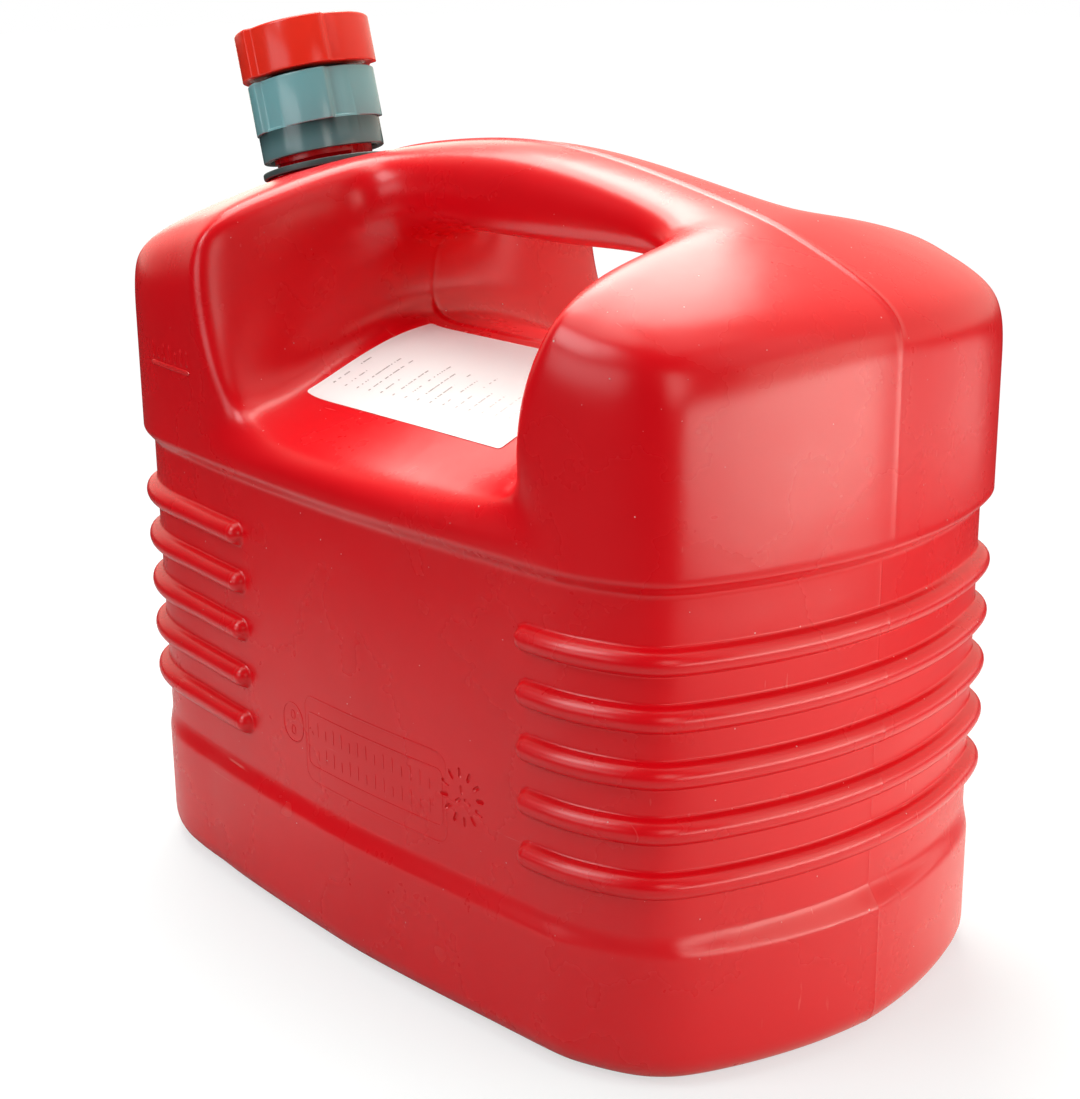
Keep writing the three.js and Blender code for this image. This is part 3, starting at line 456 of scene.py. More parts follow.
def label_material():
    """White film with rows of bare grey dashes printed across it."""
    made, shade, shader, place, facing = new_material("printed_film")
    surface = grouped(shade, SURFACE, Place=place, Peel=0.12, Grain=0.15, Size=1.0)
    first_x, first_y, row_pitch, row_shift = -46.0, -57.0, 6.4, 0.35
    shortest, longer, last_row = 9.0, 14.0, 14
    parts = shade.node("SeparateXYZ", Vector=place).outputs
    along_x = shade.math("MULTIPLY_ADD", parts["X"], 1 / (row_pitch * MM), -first_x / row_pitch)
    row = shade.math("FLOOR", along_x)
    in_row = shade.math("LESS_THAN", shade.math("FRACT", along_x), 0.13)
    in_block = shade.between(row, -0.5, last_row + 0.5)
    along_y = shade.math("MULTIPLY_ADD", parts["Y"], 1 / MM, -first_y)
    along_y = shade.math("SUBTRACT", along_y, shade.product(row, row_shift))
    chance = shade.result("TexWhiteNoise", dict(noise_dimensions="1D"), W=row)
    printed = shade.between(along_y, 2.4, shade.math("MULTIPLY_ADD", chance, longer, shortest))
    for cell_length, gaps in ((0.5, 0.4), (3.7, 0.12)):
        cell = shade.math("FLOOR", shade.math("DIVIDE", along_y, cell_length))
        pair = shade.result("CombineXYZ", X=cell, Y=row)
        value = shade.result("TexWhiteNoise", dict(noise_dimensions="2D"), Vector=pair)
        printed = shade.product(printed, shade.math("GREATER_THAN", value, gaps))
    bullet = shade.math("LESS_THAN", shade.math("ABSOLUTE", shade.math("SUBTRACT", along_y, 0.6)), 0.5)
    printed = shade.math("MAXIMUM", printed, bullet)
    fainter = shade.ramp(row, 7.0, last_row, 0.66, 0.22, smooth=False)
    rubbed = shade.ramp(shade.noise(place, 700, 1.0), 0.3, 0.6, 0.6, 1.0)
    ink = shade.product(printed, in_row, in_block, fainter, rubbed)
    specks = grouped(shade, DUST, Place=place, Facing=facing, Amount=0.4)
    stain = shade.ramp(shade.noise(place, 30, 4.0), 0.5, 0.8, 0.0, 0.04)
    paper = shade.mix(stain, (0.93, 0.96, 0.97, 1), (0.75, 0.68, 0.66, 1))
    paper = shade.mix(shade.product(specks["Mask"], 0.35), paper, (0.4, 0.4, 0.4, 1))
    shade.feed(shader, "Base Color", shade.mix(ink, paper, (0.06, 0.06, 0.065, 1)))
    shade.feed(shader, "Roughness", shade.ramp(shade.noise(place, 60, 2.0), 0.3, 0.7, 0.42, 0.52))
    shade.feed(shader, "Normal", surface["Normal"])
    return made


RED, GREY_GREEN, PRINTED = tank_material(), nut_material(), label_material()
BRIGHT_RED = plastic(
    "bright_red_cap", (0.94, 0.04, 0.02, 1), (0.92, 0.4, 0.26, 1),
    rough=0.2, peel=0.16, grain=0.25, dust=0.5, scuff=0.3, size=1.4, edges=0.45,
)[0]
DARK_GREY = plastic(
    "dark_ring", (0.05, 0.1, 0.1, 1), (0.2, 0.27, 0.27, 1),
    rough=0.38, peel=0.2, grain=0.3, dust=0.5, scuff=0.4, size=1.4, edges=0.5,
)[0]
RUBBER = plastic(
    "black_seal", (0.012, 0.012, 0.012, 1), (0.06, 0.06, 0.06, 1),
    rough=0.62, peel=0.2, grain=0.6, dust=0.3, scuff=0.3, size=1.6,
)[0]
SPOUT_BLACK = plastic(
    "black_spout", (0.018, 0.02, 0.021, 1), (0.08, 0.08, 0.08, 1),
    rough=0.45, peel=0.2, grain=0.4, dust=0.3, scuff=0.5, size=1.3,
)[0]


# Geometry Nodes trees for what repeats, winds round an axis or follows a wall


def nodes_tree(name, **inputs):
    """A new tree with named inputs and a material: its helper, its inputs and a call that ends it."""
    tree = bpy.data.node_groups.new(name, "GeometryNodeTree")
    add_inputs(tree, dict(inputs, Material="Material"))
    tree.interface.new_socket("Geometry", in_out="OUTPUT", socket_type="NodeSocketGeometry")
    web = Web(tree)
    given = tree.nodes.new("NodeGroupInput").outputs

    def ended_by(geometry):
        whole = web.result("GeometryNodeRealizeInstances", n0=geometry)
        coated = web.result("GeometryNodeSetMaterial", Geometry=whole, Material=given["Material"])
        tree.links.new(coated, tree.nodes.new("NodeGroupOutput").inputs[0])

    return web, given, ended_by


def made_by(tree, name, material, **values):
    """A plain mesh from a tree, with its inputs set by their sockets' identifiers."""
    piece = linked(name, bpy.data.meshes.new(name))
    build = piece.modifiers.new("build", "NODES")
    sockets = {item.name: item.identifier for item in tree.interface.items_tree if item.in_out == "INPUT"}
    build.node_group = tree
    build[sockets["Material"]] = material
    for key, value in values.items():
        build[sockets[key.replace("_", " ")]] = value
    return settled(piece)


def combined(web, x, y, z):
    return web.result("CombineXYZ", X=x, Y=y, Z=z)


def own_place(web):
    """The X, Y and Z of the point that is being set."""
    return web.node("SeparateXYZ", Vector=web.result("GeometryNodeInputPosition")).outputs


def from_nearer_end(web):
    """How far a point of a curve lies from the nearer end, as a share of its length."""
    along = web.node("GeometryNodeSplineParameter").outputs["Factor"]
    return web.math("MINIMUM", along, web.math("SUBTRACT", 1.0, along))


def screw_thread_tree():
    """A ridge wound round the upright axis, thin at both ends, with its root sunk in the wall."""
    web, given, ended_by = nodes_tree(
        "screw_thread", Core=0.02, Crest=0.021, Pitch=0.006, Turns=2.0, Width=0.003
    )
    helix = web.result(
        "GeometryNodeCurveSpiral", Resolution=48, Rotations=given["Turns"], Start_Radius=given["Core"],
        End_Radius=given["Core"], Height=web.product(given["Pitch"], given["Turns"]),
    )
    upright_helix = web.result("GeometryNodeSetCurveNormal", dict(mode="Z_UP"), Curve=helix)
    depth = web.math("SUBTRACT", given["Crest"], given["Core"])
    root = web.product(web.math("SIGN", depth), -0.8 * MM)
    section = web.node("GeometryNodeCurvePrimitiveQuadrilateral", dict(mode="POINTS"))
    for n, (reach, share) in enumerate(((root, -0.5), (depth, -0.2), (depth, 0.2), (root, 0.5))):
        corner = combined(web, reach, web.product(given["Width"], share), 0.0)
        web.feed(section, f"Point {n + 1}", corner)
    thin = web.product(from_nearer_end(web), given["Turns"], 4.5)
    swept = web.result(
        "GeometryNodeCurveToMesh", Curve=upright_helix, Profile_Curve=section.outputs[0],
        Scale=web.math("MINIMUM", web.math("ADD", thin, 0.12), 1.0), Fill_Caps=True,
    )
    ended_by(swept)
    return web.tree


def ribbed_tube_tree():
    """A tube with an even wall and closed rims, whose middle stretch swells in ribs."""
    web, given, ended_by = nodes_tree(
        "ribbed_tube", Low=-0.1, High=0.0, Ribs_Low=-0.09, Ribs_High=-0.01, Ribs=13,
        Crest=0.014, Waist=0.012, Cuff=0.013, Wall=0.002,
    )
    rows, sides = 2 * 161, 72
    sheet = web.result(
        "GeometryNodeMeshGrid", Size_X=1.0, Size_Y=1.0, Vertices_X=rows + 1, Vertices_Y=sides + 1
    )
    place = own_place(web)
    round_wall = web.math("ADD", place["X"], 0.5)
    turn = web.product(web.math("ADD", place["Y"], 0.5), 2 * math.pi)
    first_half = web.math("LESS_THAN", round_wall, 0.5)
    outside = web.math("MAXIMUM", first_half, web.math("GREATER_THAN", round_wall, 1 - 0.5 / rows))
    share = web.math("ABSOLUTE", web.math("MULTIPLY_ADD", round_wall, 2.0, -1.0))
    share = web.math("SUBTRACT", 1.0, share)
    height = web.result("MapRange", Value=share, To_Min=given["Low"], To_Max=given["High"])
    ribbed = web.result(
        "MapRange", Value=height, From_Min=given["Ribs Low"], From_Max=given["Ribs High"],
        To_Max=given["Ribs"],
    )
    swell = web.math("MULTIPLY_ADD", web.math("COSINE", web.product(ribbed, 2 * math.pi)), -0.5, 0.5)
    swell = web.math("POWER", swell, 0.7)
    tall = web.math("SUBTRACT", given["Crest"], given["Waist"])
    wave = web.math("MULTIPLY_ADD", swell, tall, given["Waist"])
    in_ribs = web.between(ribbed, 0.02, web.math("SUBTRACT", given["Ribs"], 0.02))
    below_cuff = web.product(in_ribs, web.math("SUBTRACT", given["Cuff"], wave))
    plain = web.math("SUBTRACT", given["Cuff"], below_cuff)
    bore = web.math("SUBTRACT", plain, given["Wall"])
    radius = web.math("MULTIPLY_ADD", outside, web.math("SUBTRACT", plain, bore), bore)
    x = web.product(radius, web.math("COSINE", turn))
    y = web.product(radius, web.math("SINE", turn))
    bent = web.result("GeometryNodeSetPosition", Geometry=sheet, Position=combined(web, x, y, height))
    ended_by(web.result("GeometryNodeMergeByDistance", Geometry=bent, Distance=0.00001))
    return web.tree


def laid_on_wall(web, given, geometry):
    """Lays a flat pattern on a wall: its x and y run along it and upwards, its z stands out of it."""
    place = own_place(web)
    middle = web.node("SeparateXYZ", Vector=given["Middle"]).outputs
    along = web.math("ADD", place["X"], middle["X"])
    up = web.math("ADD", place["Y"], middle["Z"])
    wall = web.node("GeometryNodeObjectInfo", Object=given["Wall"]).outputs["Geometry"]
    start = combined(web, along, -3 * HALF_WIDTH * MM, up)
    met = web.node("GeometryNodeRaycast", n0=wall, Source_Position=start, Ray_Direction=(0, 1, 0)).outputs
    out = web.vector_math("SCALE", n0=met["Hit Normal"], Scale=place["Z"])[0]
    stood = web.vector_math("ADD", n0=met["Hit Position"], n1=out)[0]
    return web.result("GeometryNodeSetPosition", Geometry=geometry, Position=stood)


WALL_INPUTS = dict(Wall="Object", Middle="Vector", Width=0.0007, Rise=0.0002)


def stroke(web, given, path, closed):
    """A flattened round bead along a flat curve, half of it sunk in the wall."""
    section = web.result("GeometryNodeCurvePrimitiveCircle", Resolution=8, Radius=1.0)
    half = web.product(given["Width"], 0.5)
    narrow = 1.0
    if not closed:
        narrow = web.math("MINIMUM", web.math("MULTIPLY_ADD", from_nearer_end(web), 6.0, 0.4), 1.0)
    flat = web.result("GeometryNodeSetCurveNormal", dict(mode="Z_UP"), Curve=path)
    swept = web.result(
        "GeometryNodeCurveToMesh", Curve=flat, Profile_Curve=section, Scale=web.product(half, narrow),
        Fill_Caps=not closed,
    )
    place = own_place(web)
    squash = web.math("DIVIDE", given["Rise"], half)
    squashed = combined(web, place["X"], place["Y"], web.product(place["Z"], squash))
    return web.result("GeometryNodeSetPosition", Geometry=swept, Position=squashed)


def bar(web, given):
    """A short bead along the pattern's y, standing on its origin."""
    line = web.result("GeometryNodeCurvePrimitiveLine", End=combined(web, 0.0, given["Length"], 0.0))
    path = web.result("GeometryNodeResampleCurve", dict(mode="COUNT"), Curve=line, Count=7)
    return stroke(web, given, path, False)


def ring_of_ticks_tree():
    """Short radial bars at even steps round a dial on a wall."""
    web, given, ended_by = nodes_tree(
        "ring_of_ticks", **WALL_INPUTS, Count=12, Radius=0.0064, Length=0.0028, Turn=0.12
    )
    dial = web.result("GeometryNodeMeshLine", Count=given["Count"], Offset=(0, 0, 0))
    step = web.math("DIVIDE", 2 * math.pi, given["Count"])
    turn = web.math("MULTIPLY_ADD", web.result("GeometryNodeInputIndex"), step, given["Turn"])
    spin = web.result("FunctionNodeAxisAngleToRotation", Axis=(0, 0, 1), Angle=turn)
    outwards = combined(web, 0.0, given["Radius"], 0.0)
    tick = web.result("GeometryNodeTransform", Geometry=bar(web, given), Translation=outwards)
    ticks = web.result("GeometryNodeInstanceOnPoints", Points=dial, Instance=tick, Rotation=spin)
    ended_by(laid_on_wall(web, given, web.result("GeometryNodeRealizeInstances", n0=ticks)))
    return web.tree


def row_of_bars_tree():
    """Upright bars at an even pitch along a wall, every third one shorter."""
    web, given, ended_by = nodes_tree(
        "row_of_bars", **WALL_INPUTS, Count=11, Pitch=0.005, Length=0.006, Short=0.7, First=0
    )
    pitch = combined(web, given["Pitch"], 0.0, 0.0)
    line = web.result("GeometryNodeMeshLine", Count=given["Count"], Offset=pitch)
    number = web.math("ADD", web.result("GeometryNodeInputIndex"), given["First"])
    off = web.math("ABSOLUTE", web.math("SUBTRACT", web.math("MODULO", number, 3.0), 1.0))
    third = web.math("LESS_THAN", off, 0.5)
    less = web.product(third, web.math("SUBTRACT", 1.0, given["Short"]))
    tall = combined(web, 1.0, web.math("SUBTRACT", 1.0, less), 1.0)
    bars = web.result("GeometryNodeInstanceOnPoints", Points=line, Instance=bar(web, given), Scale=tall)
    ended_by(laid_on_wall(web, given, web.result("GeometryNodeRealizeInstances", n0=bars)))
    return web.tree


def outline_tree():
    """A bead round a rectangle with round corners on a wall; with corners as large as its sides, an oval."""
    web, given, ended_by = nodes_tree(
        "outline", **WALL_INPUTS, Across=0.07, High=0.02, Corner=0.003, Points=120
    )
    shape = web.result(
        "GeometryNodeCurvePrimitiveQuadrilateral", Width=given["Across"], Height=given["High"]
    )
    soft = web.result(
        "GeometryNodeFilletCurve", dict(mode="POLY"), Curve=shape, Radius=given["Corner"], Count=8,
        Limit_Radius=True,
    )
    even = web.result("GeometryNodeResampleCurve", dict(mode="COUNT"), Curve=soft, Count=given["Points"])
    ended_by(laid_on_wall(web, given, stroke(web, given, even, True)))
    return web.tree


THREAD, RIBBED, TICKS, BARS, OUTLINE = (
    screw_thread_tree(), ribbed_tube_tree(), ring_of_ticks_tree(), row_of_bars_tree(), outline_tree()
)


def thread(name, material, core, crest, pitch, low, turns, width):
    """A screw thread on the closure's axis, from a height in millimetres."""
    ridge = made_by(
        THREAD, name, material, Core=core * MM, Crest=crest * MM, Pitch=pitch * MM, Turns=turns,
        Width=width * MM,
    )
    ridge.data.transform(placed_on_neck(low))
    return tidied(ridge)


def placed_on_neck(low=0):
    """The closure's frame in metres, raised along its axis by a height in millimetres."""
    raised = Matrix.Translation((0, 0, low * MM))
    return Matrix.Translation(NECK_AT * MM) @ CLOSURE.to_3x3().to_4x4() @ raised


# The tank's outline and lattice, the same as the part's


def corner_centre():
    """Centre of the round that joins the tank's side to its end."""
    side, end = SIDE_BOW - CORNER_ROUND, END_BOW - CORNER_ROUND
    gap = Vector((HALF_LENGTH - END_BOW, SIDE_BOW - HALF_WIDTH))
    along = (side**2 - end**2 + gap.length**2) / (2 * gap.length)
    across = math.sqrt(side**2 - along**2)
    unit = gap.normalized()
    x = unit.x * along + unit.y * across
    y = HALF_WIDTH - SIDE_BOW + unit.y * along - unit.x * across
    return Vector((x, y))


CORNER = corner_centre()
CORNER_START = math.atan2(CORNER.y, CORNER.x - (HALF_LENGTH - END_BOW))
CORNER_END = math.atan2(CORNER.y - (HALF_WIDTH - SIDE_BOW), CORNER.x)


def corner_point(angle):
    return CORNER.x + CORNER_ROUND * math.cos(angle), CORNER.y + CORNER_ROUND * math.sin(angle)


END_ARC_Y = corner_point(CORNER_START)[1]
SIDE_ARC_X = corner_point(CORNER_END)[0]
LAST_I, LAST_J, LAST_K, FRONT_I, REAR_I, HANDLE_J = 8, 5, 3, 3, 6, 2
SHARP = dict(rim=0.1, mouth=1, front=0.3, rear=0.3, front_foot=1, rear_foot=0.8, handle=0.35)


def outline_y(x):
    """Half the tank's width at a place along it."""
    if abs(x) <= SIDE_ARC_X:
        return HALF_WIDTH - SIDE_BOW + math.sqrt(SIDE_BOW**2 - x * x)
    return CORNER.y + math.sqrt(max(0, CORNER_ROUND**2 - (abs(x) - CORNER.x) ** 2))


def outline_x(y):
    """Half the tank's length at a place across it."""
    if abs(y) <= END_ARC_Y:
        return HALF_LENGTH - END_BOW + math.sqrt(END_BOW**2 - y * y)
    return CORNER.x + math.sqrt(max(0, CORNER_ROUND**2 - (abs(y) - CORNER.y) ** 2))


def arch_z(x):
    """Height of the arched top along the tank's middle."""
    return ARCH_TOP - ARCH_SLOPE * (math.hypot(x, ARCH_TURN) - ARCH_TURN)


def outness(j):
    """How far out a row of the lattice lies from the handle, from 0 to 2."""
    return HANDLE_J - j if j <= HANDLE_J else j - HANDLE_J - 1


def is_filled(i, j, k):
    """Whether a cell of the lattice belongs to the tank. The recess is empty but for the handle."""
    if not (0 <= i < LAST_I and 0 <= j < LAST_J and k < LAST_K):
        return False
    in_recess = FRONT_I <= i < REAR_I
    return k <= 0 or not in_recess or (k == LAST_K - 1 and j == HANDLE_J)


def line_x(i, j, k):
    """Place along the tank of a lattice point that lies inside its ends."""
    share = outness(j) / 2
    run = share**2 if k == 1 else 0
    front = FRONT_WALL_X - FRONT_FLARE * share + FRONT_MOUTH_DEPTH * run
    lean = REAR_LEAN if k == LAST_K and share > 0 else 0
    pit = ARMPIT_DEPTH if k >= 2 and share == 0 else 0
    bulge = REAR_BULGE * share if k == 2 else 0
    flare = REAR_FLARE * share
    rear = REAR_WALL_X + flare + lean + pit - bulge - REAR_MOUTH_DEPTH * run
    third = (REAR_WALL_X - FRONT_WALL_X) / 3
    middle = (front - SIDE_ARC_X) / 2
    rows = (-HALF_LENGTH, -SIDE_ARC_X, middle, front, FRONT_WALL_X + third, REAR_WALL_X - third)
    return (*rows, rear, max(SIDE_ARC_X, rear + flare), HALF_LENGTH)[i]


def cage_point(i, j, k):
    """Place of a lattice point in millimetres."""
    out = outness(j)
    sign_x, sign_y = (-1 if i < LAST_I / 2 else 1), (-1 if j < LAST_J / 2 else 1)
    at_end, at_side = i in (0, LAST_I), j in (0, LAST_J)
    y = sign_y * (HANDLE_HALF_WIDTH, HIP_Y, HALF_WIDTH)[out]
    if at_end and at_side:
        x, y = corner_point((CORNER_START + CORNER_END) / 2)
        x, y = sign_x * x, sign_y * y
    elif at_end:
        y = sign_y * END_ARC_Y if out == 1 else y
        x = sign_x * outline_x(y)
    else:
        x = line_x(i, j, k)
        y = sign_y * outline_y(x) if at_side else y
    drop = (0, CROWN_DROP, RIM_DROP)[out]
    top = arch_z(x) - (END_RIM_DROP + drop * 5 / 6 if at_end else drop)
    above = ARCH_TOP - SHOULDER_Z
    floor = SHOULDER_Z + above * FLOOR_SHARES[out]
    middle = (floor + top) / 2 if out > 0 or at_end else SHOULDER_Z + above * UNDERSIDE_SHARE
    middle += ARMPIT_RISE if i == REAR_I and out == 0 else 0
    return np.array((x, y, (SHOULDER_Z, floor, middle, top)[k]), float)


def cage_crease(a, b):
    """How sharp the edge between two lattice points is, from 0 to 1."""
    def both(test):
        return test(*a) and test(*b)

    if both(lambda i, j, k: k == 0):
        return 0
    if both(lambda i, j, k: k == LAST_K and (i in (0, LAST_I) or j in (0, LAST_J))):
        return SHARP["rim"]
    if a[0] == b[0] and a[0] in (FRONT_I, REAR_I):
        front = a[0] == FRONT_I
        if both(lambda i, j, k: j in (0, LAST_J) and k >= 1):
            return SHARP["mouth"]
        if both(lambda i, j, k: k == LAST_K):
            return SHARP["front" if front else "rear"]
        if both(lambda i, j, k: k == 1):
            return SHARP["front_foot" if front else "rear_foot"]
    on_handle = both(lambda i, j, k: FRONT_I <= i <= REAR_I and j in (HANDLE_J, HANDLE_J + 1) and k >= 2)
    return SHARP["handle"] if on_handle and a[1:] == b[1:] else 0


WALLS = (
    ((1, 0, 0), ((1, 0, 0), (1, 1, 0), (1, 1, 1), (1, 0, 1))),
    ((-1, 0, 0), ((0, 0, 0), (0, 0, 1), (0, 1, 1), (0, 1, 0))),
    ((0, 1, 0), ((0, 1, 0), (0, 1, 1), (1, 1, 1), (1, 1, 0))),
    ((0, -1, 0), ((0, 0, 0), (1, 0, 0), (1, 0, 1), (0, 0, 1))),
    ((0, 0, 1), ((0, 0, 1), (1, 0, 1), (1, 1, 1), (0, 1, 1))),
    ((0, 0, -1), ((0, 0, 0), (0, 1, 0), (1, 1, 0), (1, 0, 0))),
)


def build_cage():
    """The lattice cage: points by lattice place, quads facing out, and which are the recess floor."""
    at, points, faces, floor = {}, [], [], []
    cells = [(i, j, k) for i in range(LAST_I) for j in range(LAST_J) for k in range(LAST_K)]
    for i, j, k in cells:
        if not is_filled(i, j, k):
            continue
        for (u, v, w), corners in WALLS:
            if k + w < 0 or is_filled(i + u, j + v, k + w):
                continue
            face = []
            for a, b, c in corners:
                place = (i + a, j + b, k + c)
                if place not in at:
                    at[place] = len(points)
                    points.append(cage_point(*place))
                face.append(at[place])
            faces.append(face)
            floor.append(k == 0 and w == 1)
    return {n: place for place, n in at.items()}, points, faces, floor


def fit_walls(places, points):
    """Moves the outer columns so that the smoothed wall, not the cage, lies on the outline."""
    wall = [n for n, (i, j, k) in places.items() if k == 0 and (i in (0, LAST_I) or j in (0, LAST_J))]
    wall.sort(key=lambda n: math.atan2(points[n][1], points[n][0]))
    target = np.array([points[n] for n in wall])
    ring = target.copy()
    for _ in range(12):
        ring += target - (np.roll(ring, 1, 0) + 4 * ring + np.roll(ring, -1, 0)) / 6
    shift = {places[n][:2]: move for n, move in zip(wall, ring - target)}
    for n, place in places.items():
        if place[:2] in shift:
            points[n] = points[n] + shift[place[:2]]


def creased_step(places, points, faces, floor):
    """One step of Catmull-Clark subdivision with part-sharp edges."""
    centres = [sum(points[v] for v in face) / 4 for face in faces]
    edges, faces_at, edges_at = {}, {}, {}
    for f, face in enumerate(faces):
        for n, a in enumerate(face):
            edges.setdefault(frozenset((a, face[(n + 1) % 4])), []).append(f)
            faces_at.setdefault(a, []).append(f)
    facts = {}
    for edge, sides in edges.items():
        a, b = edge
        sharp = 9 if len(sides) == 1 else cage_crease(places[a], places[b])
        facts[edge] = (sharp, (points[a] + points[b]) / 2)
        for v in edge:
            edges_at.setdefault(v, []).append(edge)
    made = []
    for v, point in enumerate(points):
        near = [facts[edge] for edge in edges_at[v]]
        count = len(near)
        smooth = sum(centres[f] for f in faces_at[v]) / (len(faces_at[v]) * count)
        smooth = smooth + sum(middle for _, middle in near) * 2 / count**2 + point * (count - 3) / count
        folds = [fact for fact in near if fact[0] > 0]
        if len(folds) < 2:
            made.append(smooth)
            continue
        folded = point / 2 + sum(middle for _, middle in folds) / 4 if len(folds) == 2 else point
        mean = sum(min(sharp, 1) for sharp, _ in folds) / len(folds)
        made.append(smooth + (folded - smooth) * mean)
    made += centres
    middle_of = {}
    for edge, sides in edges.items():
        sharp, middle = facts[edge]
        soft = middle if len(sides) == 1 else middle / 2 + sum(centres[f] for f in sides) / 4
        middle_of[edge] = len(made)
        made.append(soft + (middle - soft) * min(sharp, 1))
    quads, tags = [], []
    for f, face in enumerate(faces):
        for n, v in enumerate(face):
            after = middle_of[frozenset((v, face[(n + 1) % 4]))]
            before = middle_of[frozenset((face[n - 1], v))]
            quads.append((v, after, len(points) + f, before))
            tags.append(floor[f])
    return made, quads, tags


def upper_skin():
    """The smoothed top of the tank, open at the shoulder, its recess floor marked by material number."""
    places, points, faces, floor = build_cage()
    fit_walls(places, points)
    made, quads, tags = creased_step(places, points, faces, floor)
    skin = mesh_of("upper_skin", made, quads)
    skin.data.polygons.foreach_set("material_index", [int(tag) for tag in tags])
    smooth = skin.modifiers.new("smooth", "SUBSURF")
    smooth.levels = smooth.render_levels = 3
    smooth.boundary_smooth = "ALL"
    smooth.use_limit_surface = False
    return settled(skin)


def raised_seam(shape):
    """Cuts three lines along the middle of the mesh and lifts the middle one."""
    for y in (-SEAM_HALF * MM, 0, SEAM_HALF * MM):
        parts = shape.verts[:] + shape.edges[:] + shape.faces[:]
        bmesh.ops.bisect_plane(shape, geom=parts, dist=1e-7, plane_co=(0, y, 0), plane_no=(0, 1, 0))
    bmesh.ops.remove_doubles(shape, verts=shape.verts, dist=2e-6)
    shape.normal_update()
    for vert in shape.verts:
        if abs(vert.co.y) < 1e-6 and not vert.is_boundary:
            facing_up = max(0, min(1, 2 * vert.normal.z))
            vert.co += vert.normal * (SEAM_RAISE + (SEAM_TOP_RAISE - SEAM_RAISE) * facing_up) * MM


# The belt and the plinth: rings of the shoulder's outline drawn in, with the ribs standing out of the belt


def ring_of(shape):
    """The open edge of the upper skin as points, counter-clockwise from above."""
    ring = []
    edge_of = {}
    for edge in shape.edges:
        if edge.is_boundary:
            for vert in edge.verts:
                edge_of.setdefault(vert, []).append(edge)
    start = max(edge_of, key=lambda v: (v.co.x, -abs(v.co.y)))
    vert, last = start, None
    while True:
        ring.append(vert)
        edge = next(e for e in edge_of[vert] if e is not last)
        if last is None:
            edge = max(edge_of[vert], key=lambda e: e.other_vert(vert).co.y)
        vert, last = edge.other_vert(vert), edge
        if vert is start:
            return ring


def rib_rise(gap):
    """Height of a rib at a distance from its middle line: a half round with a fillet at its foot."""
    edge = 0.93 * RIB_RADIUS
    if gap >= RIB_FILLET:
        return 0
    if gap <= edge:
        return math.sqrt(RIB_RADIUS**2 - gap * gap)
    high = math.sqrt(RIB_RADIUS**2 - edge * edge)
    share = (gap - edge) / (RIB_FILLET - edge)
    slope = -edge / high * (RIB_FILLET - edge)
    return high * (1 - share) ** 2 * (1 + 2 * share) + slope * share * (1 - share) ** 2


def outline_columns(track):
    """Places along the outline: close together where ribs end and at the seam, wider elsewhere."""
    total = track["length"]
    stops = []
    for end_x in (FRONT_RIB_END_X, REAR_RIB_END_X):
        for side in (-1, 1):
            stops.append(track["at"](end_x, side * outline_y(end_x)))
    seams = [track["at"](HALF_LENGTH, 0), track["at"](-HALF_LENGTH, 0)]

    def apart(a, b):
        return abs((a - b + total / 2) % total - total / 2)

    at_seam, at_rib_end, by_rib_end, on_ribs, on_panel = 0.28, 0.55, 1.3, 2.6, 6
    columns, here = [], 0.0
    while here < total:
        columns.append(here)
        near_end = min(apart(here, stop) for stop in stops)
        near_seam = min(apart(here, seam) for seam in seams)
        step = at_rib_end if near_end < 6 else on_ribs
        step = by_rib_end if 6 <= near_end < 9 else step
        step = at_seam if near_seam < 1.2 else step
        point = track["point"](here)
        in_panel = FRONT_RIB_END_X + 9 < point[0] < REAR_RIB_END_X - 9
        here += on_panel if in_panel else step
    return columns, stops, seams, apart


def tracked(ring):
    """The outline as a track that gives a point, an outward direction and the place nearest a point."""
    points = np.array([(v.co.x / MM, v.co.y / MM) for v in ring])
    closed = np.vstack([points, points[:1]])
    steps = np.hypot(*np.diff(closed, axis=0).T)
    travel = np.concatenate([[0], np.cumsum(steps)])
    length = travel[-1]

    def point(s):
        s = s % length
        return np.array([np.interp(s, travel, closed[:, 0]), np.interp(s, travel, closed[:, 1])])

    def out(s):
        along = point(s + 1.5) - point(s - 1.5)
        along /= np.hypot(*along)
        return np.array([along[1], -along[0]])

    def at(x, y):
        return travel[int(np.argmin(np.hypot(points[:, 0] - x, points[:, 1] - y)))]

    return dict(point=point, out=out, at=at, length=length, travel=travel)


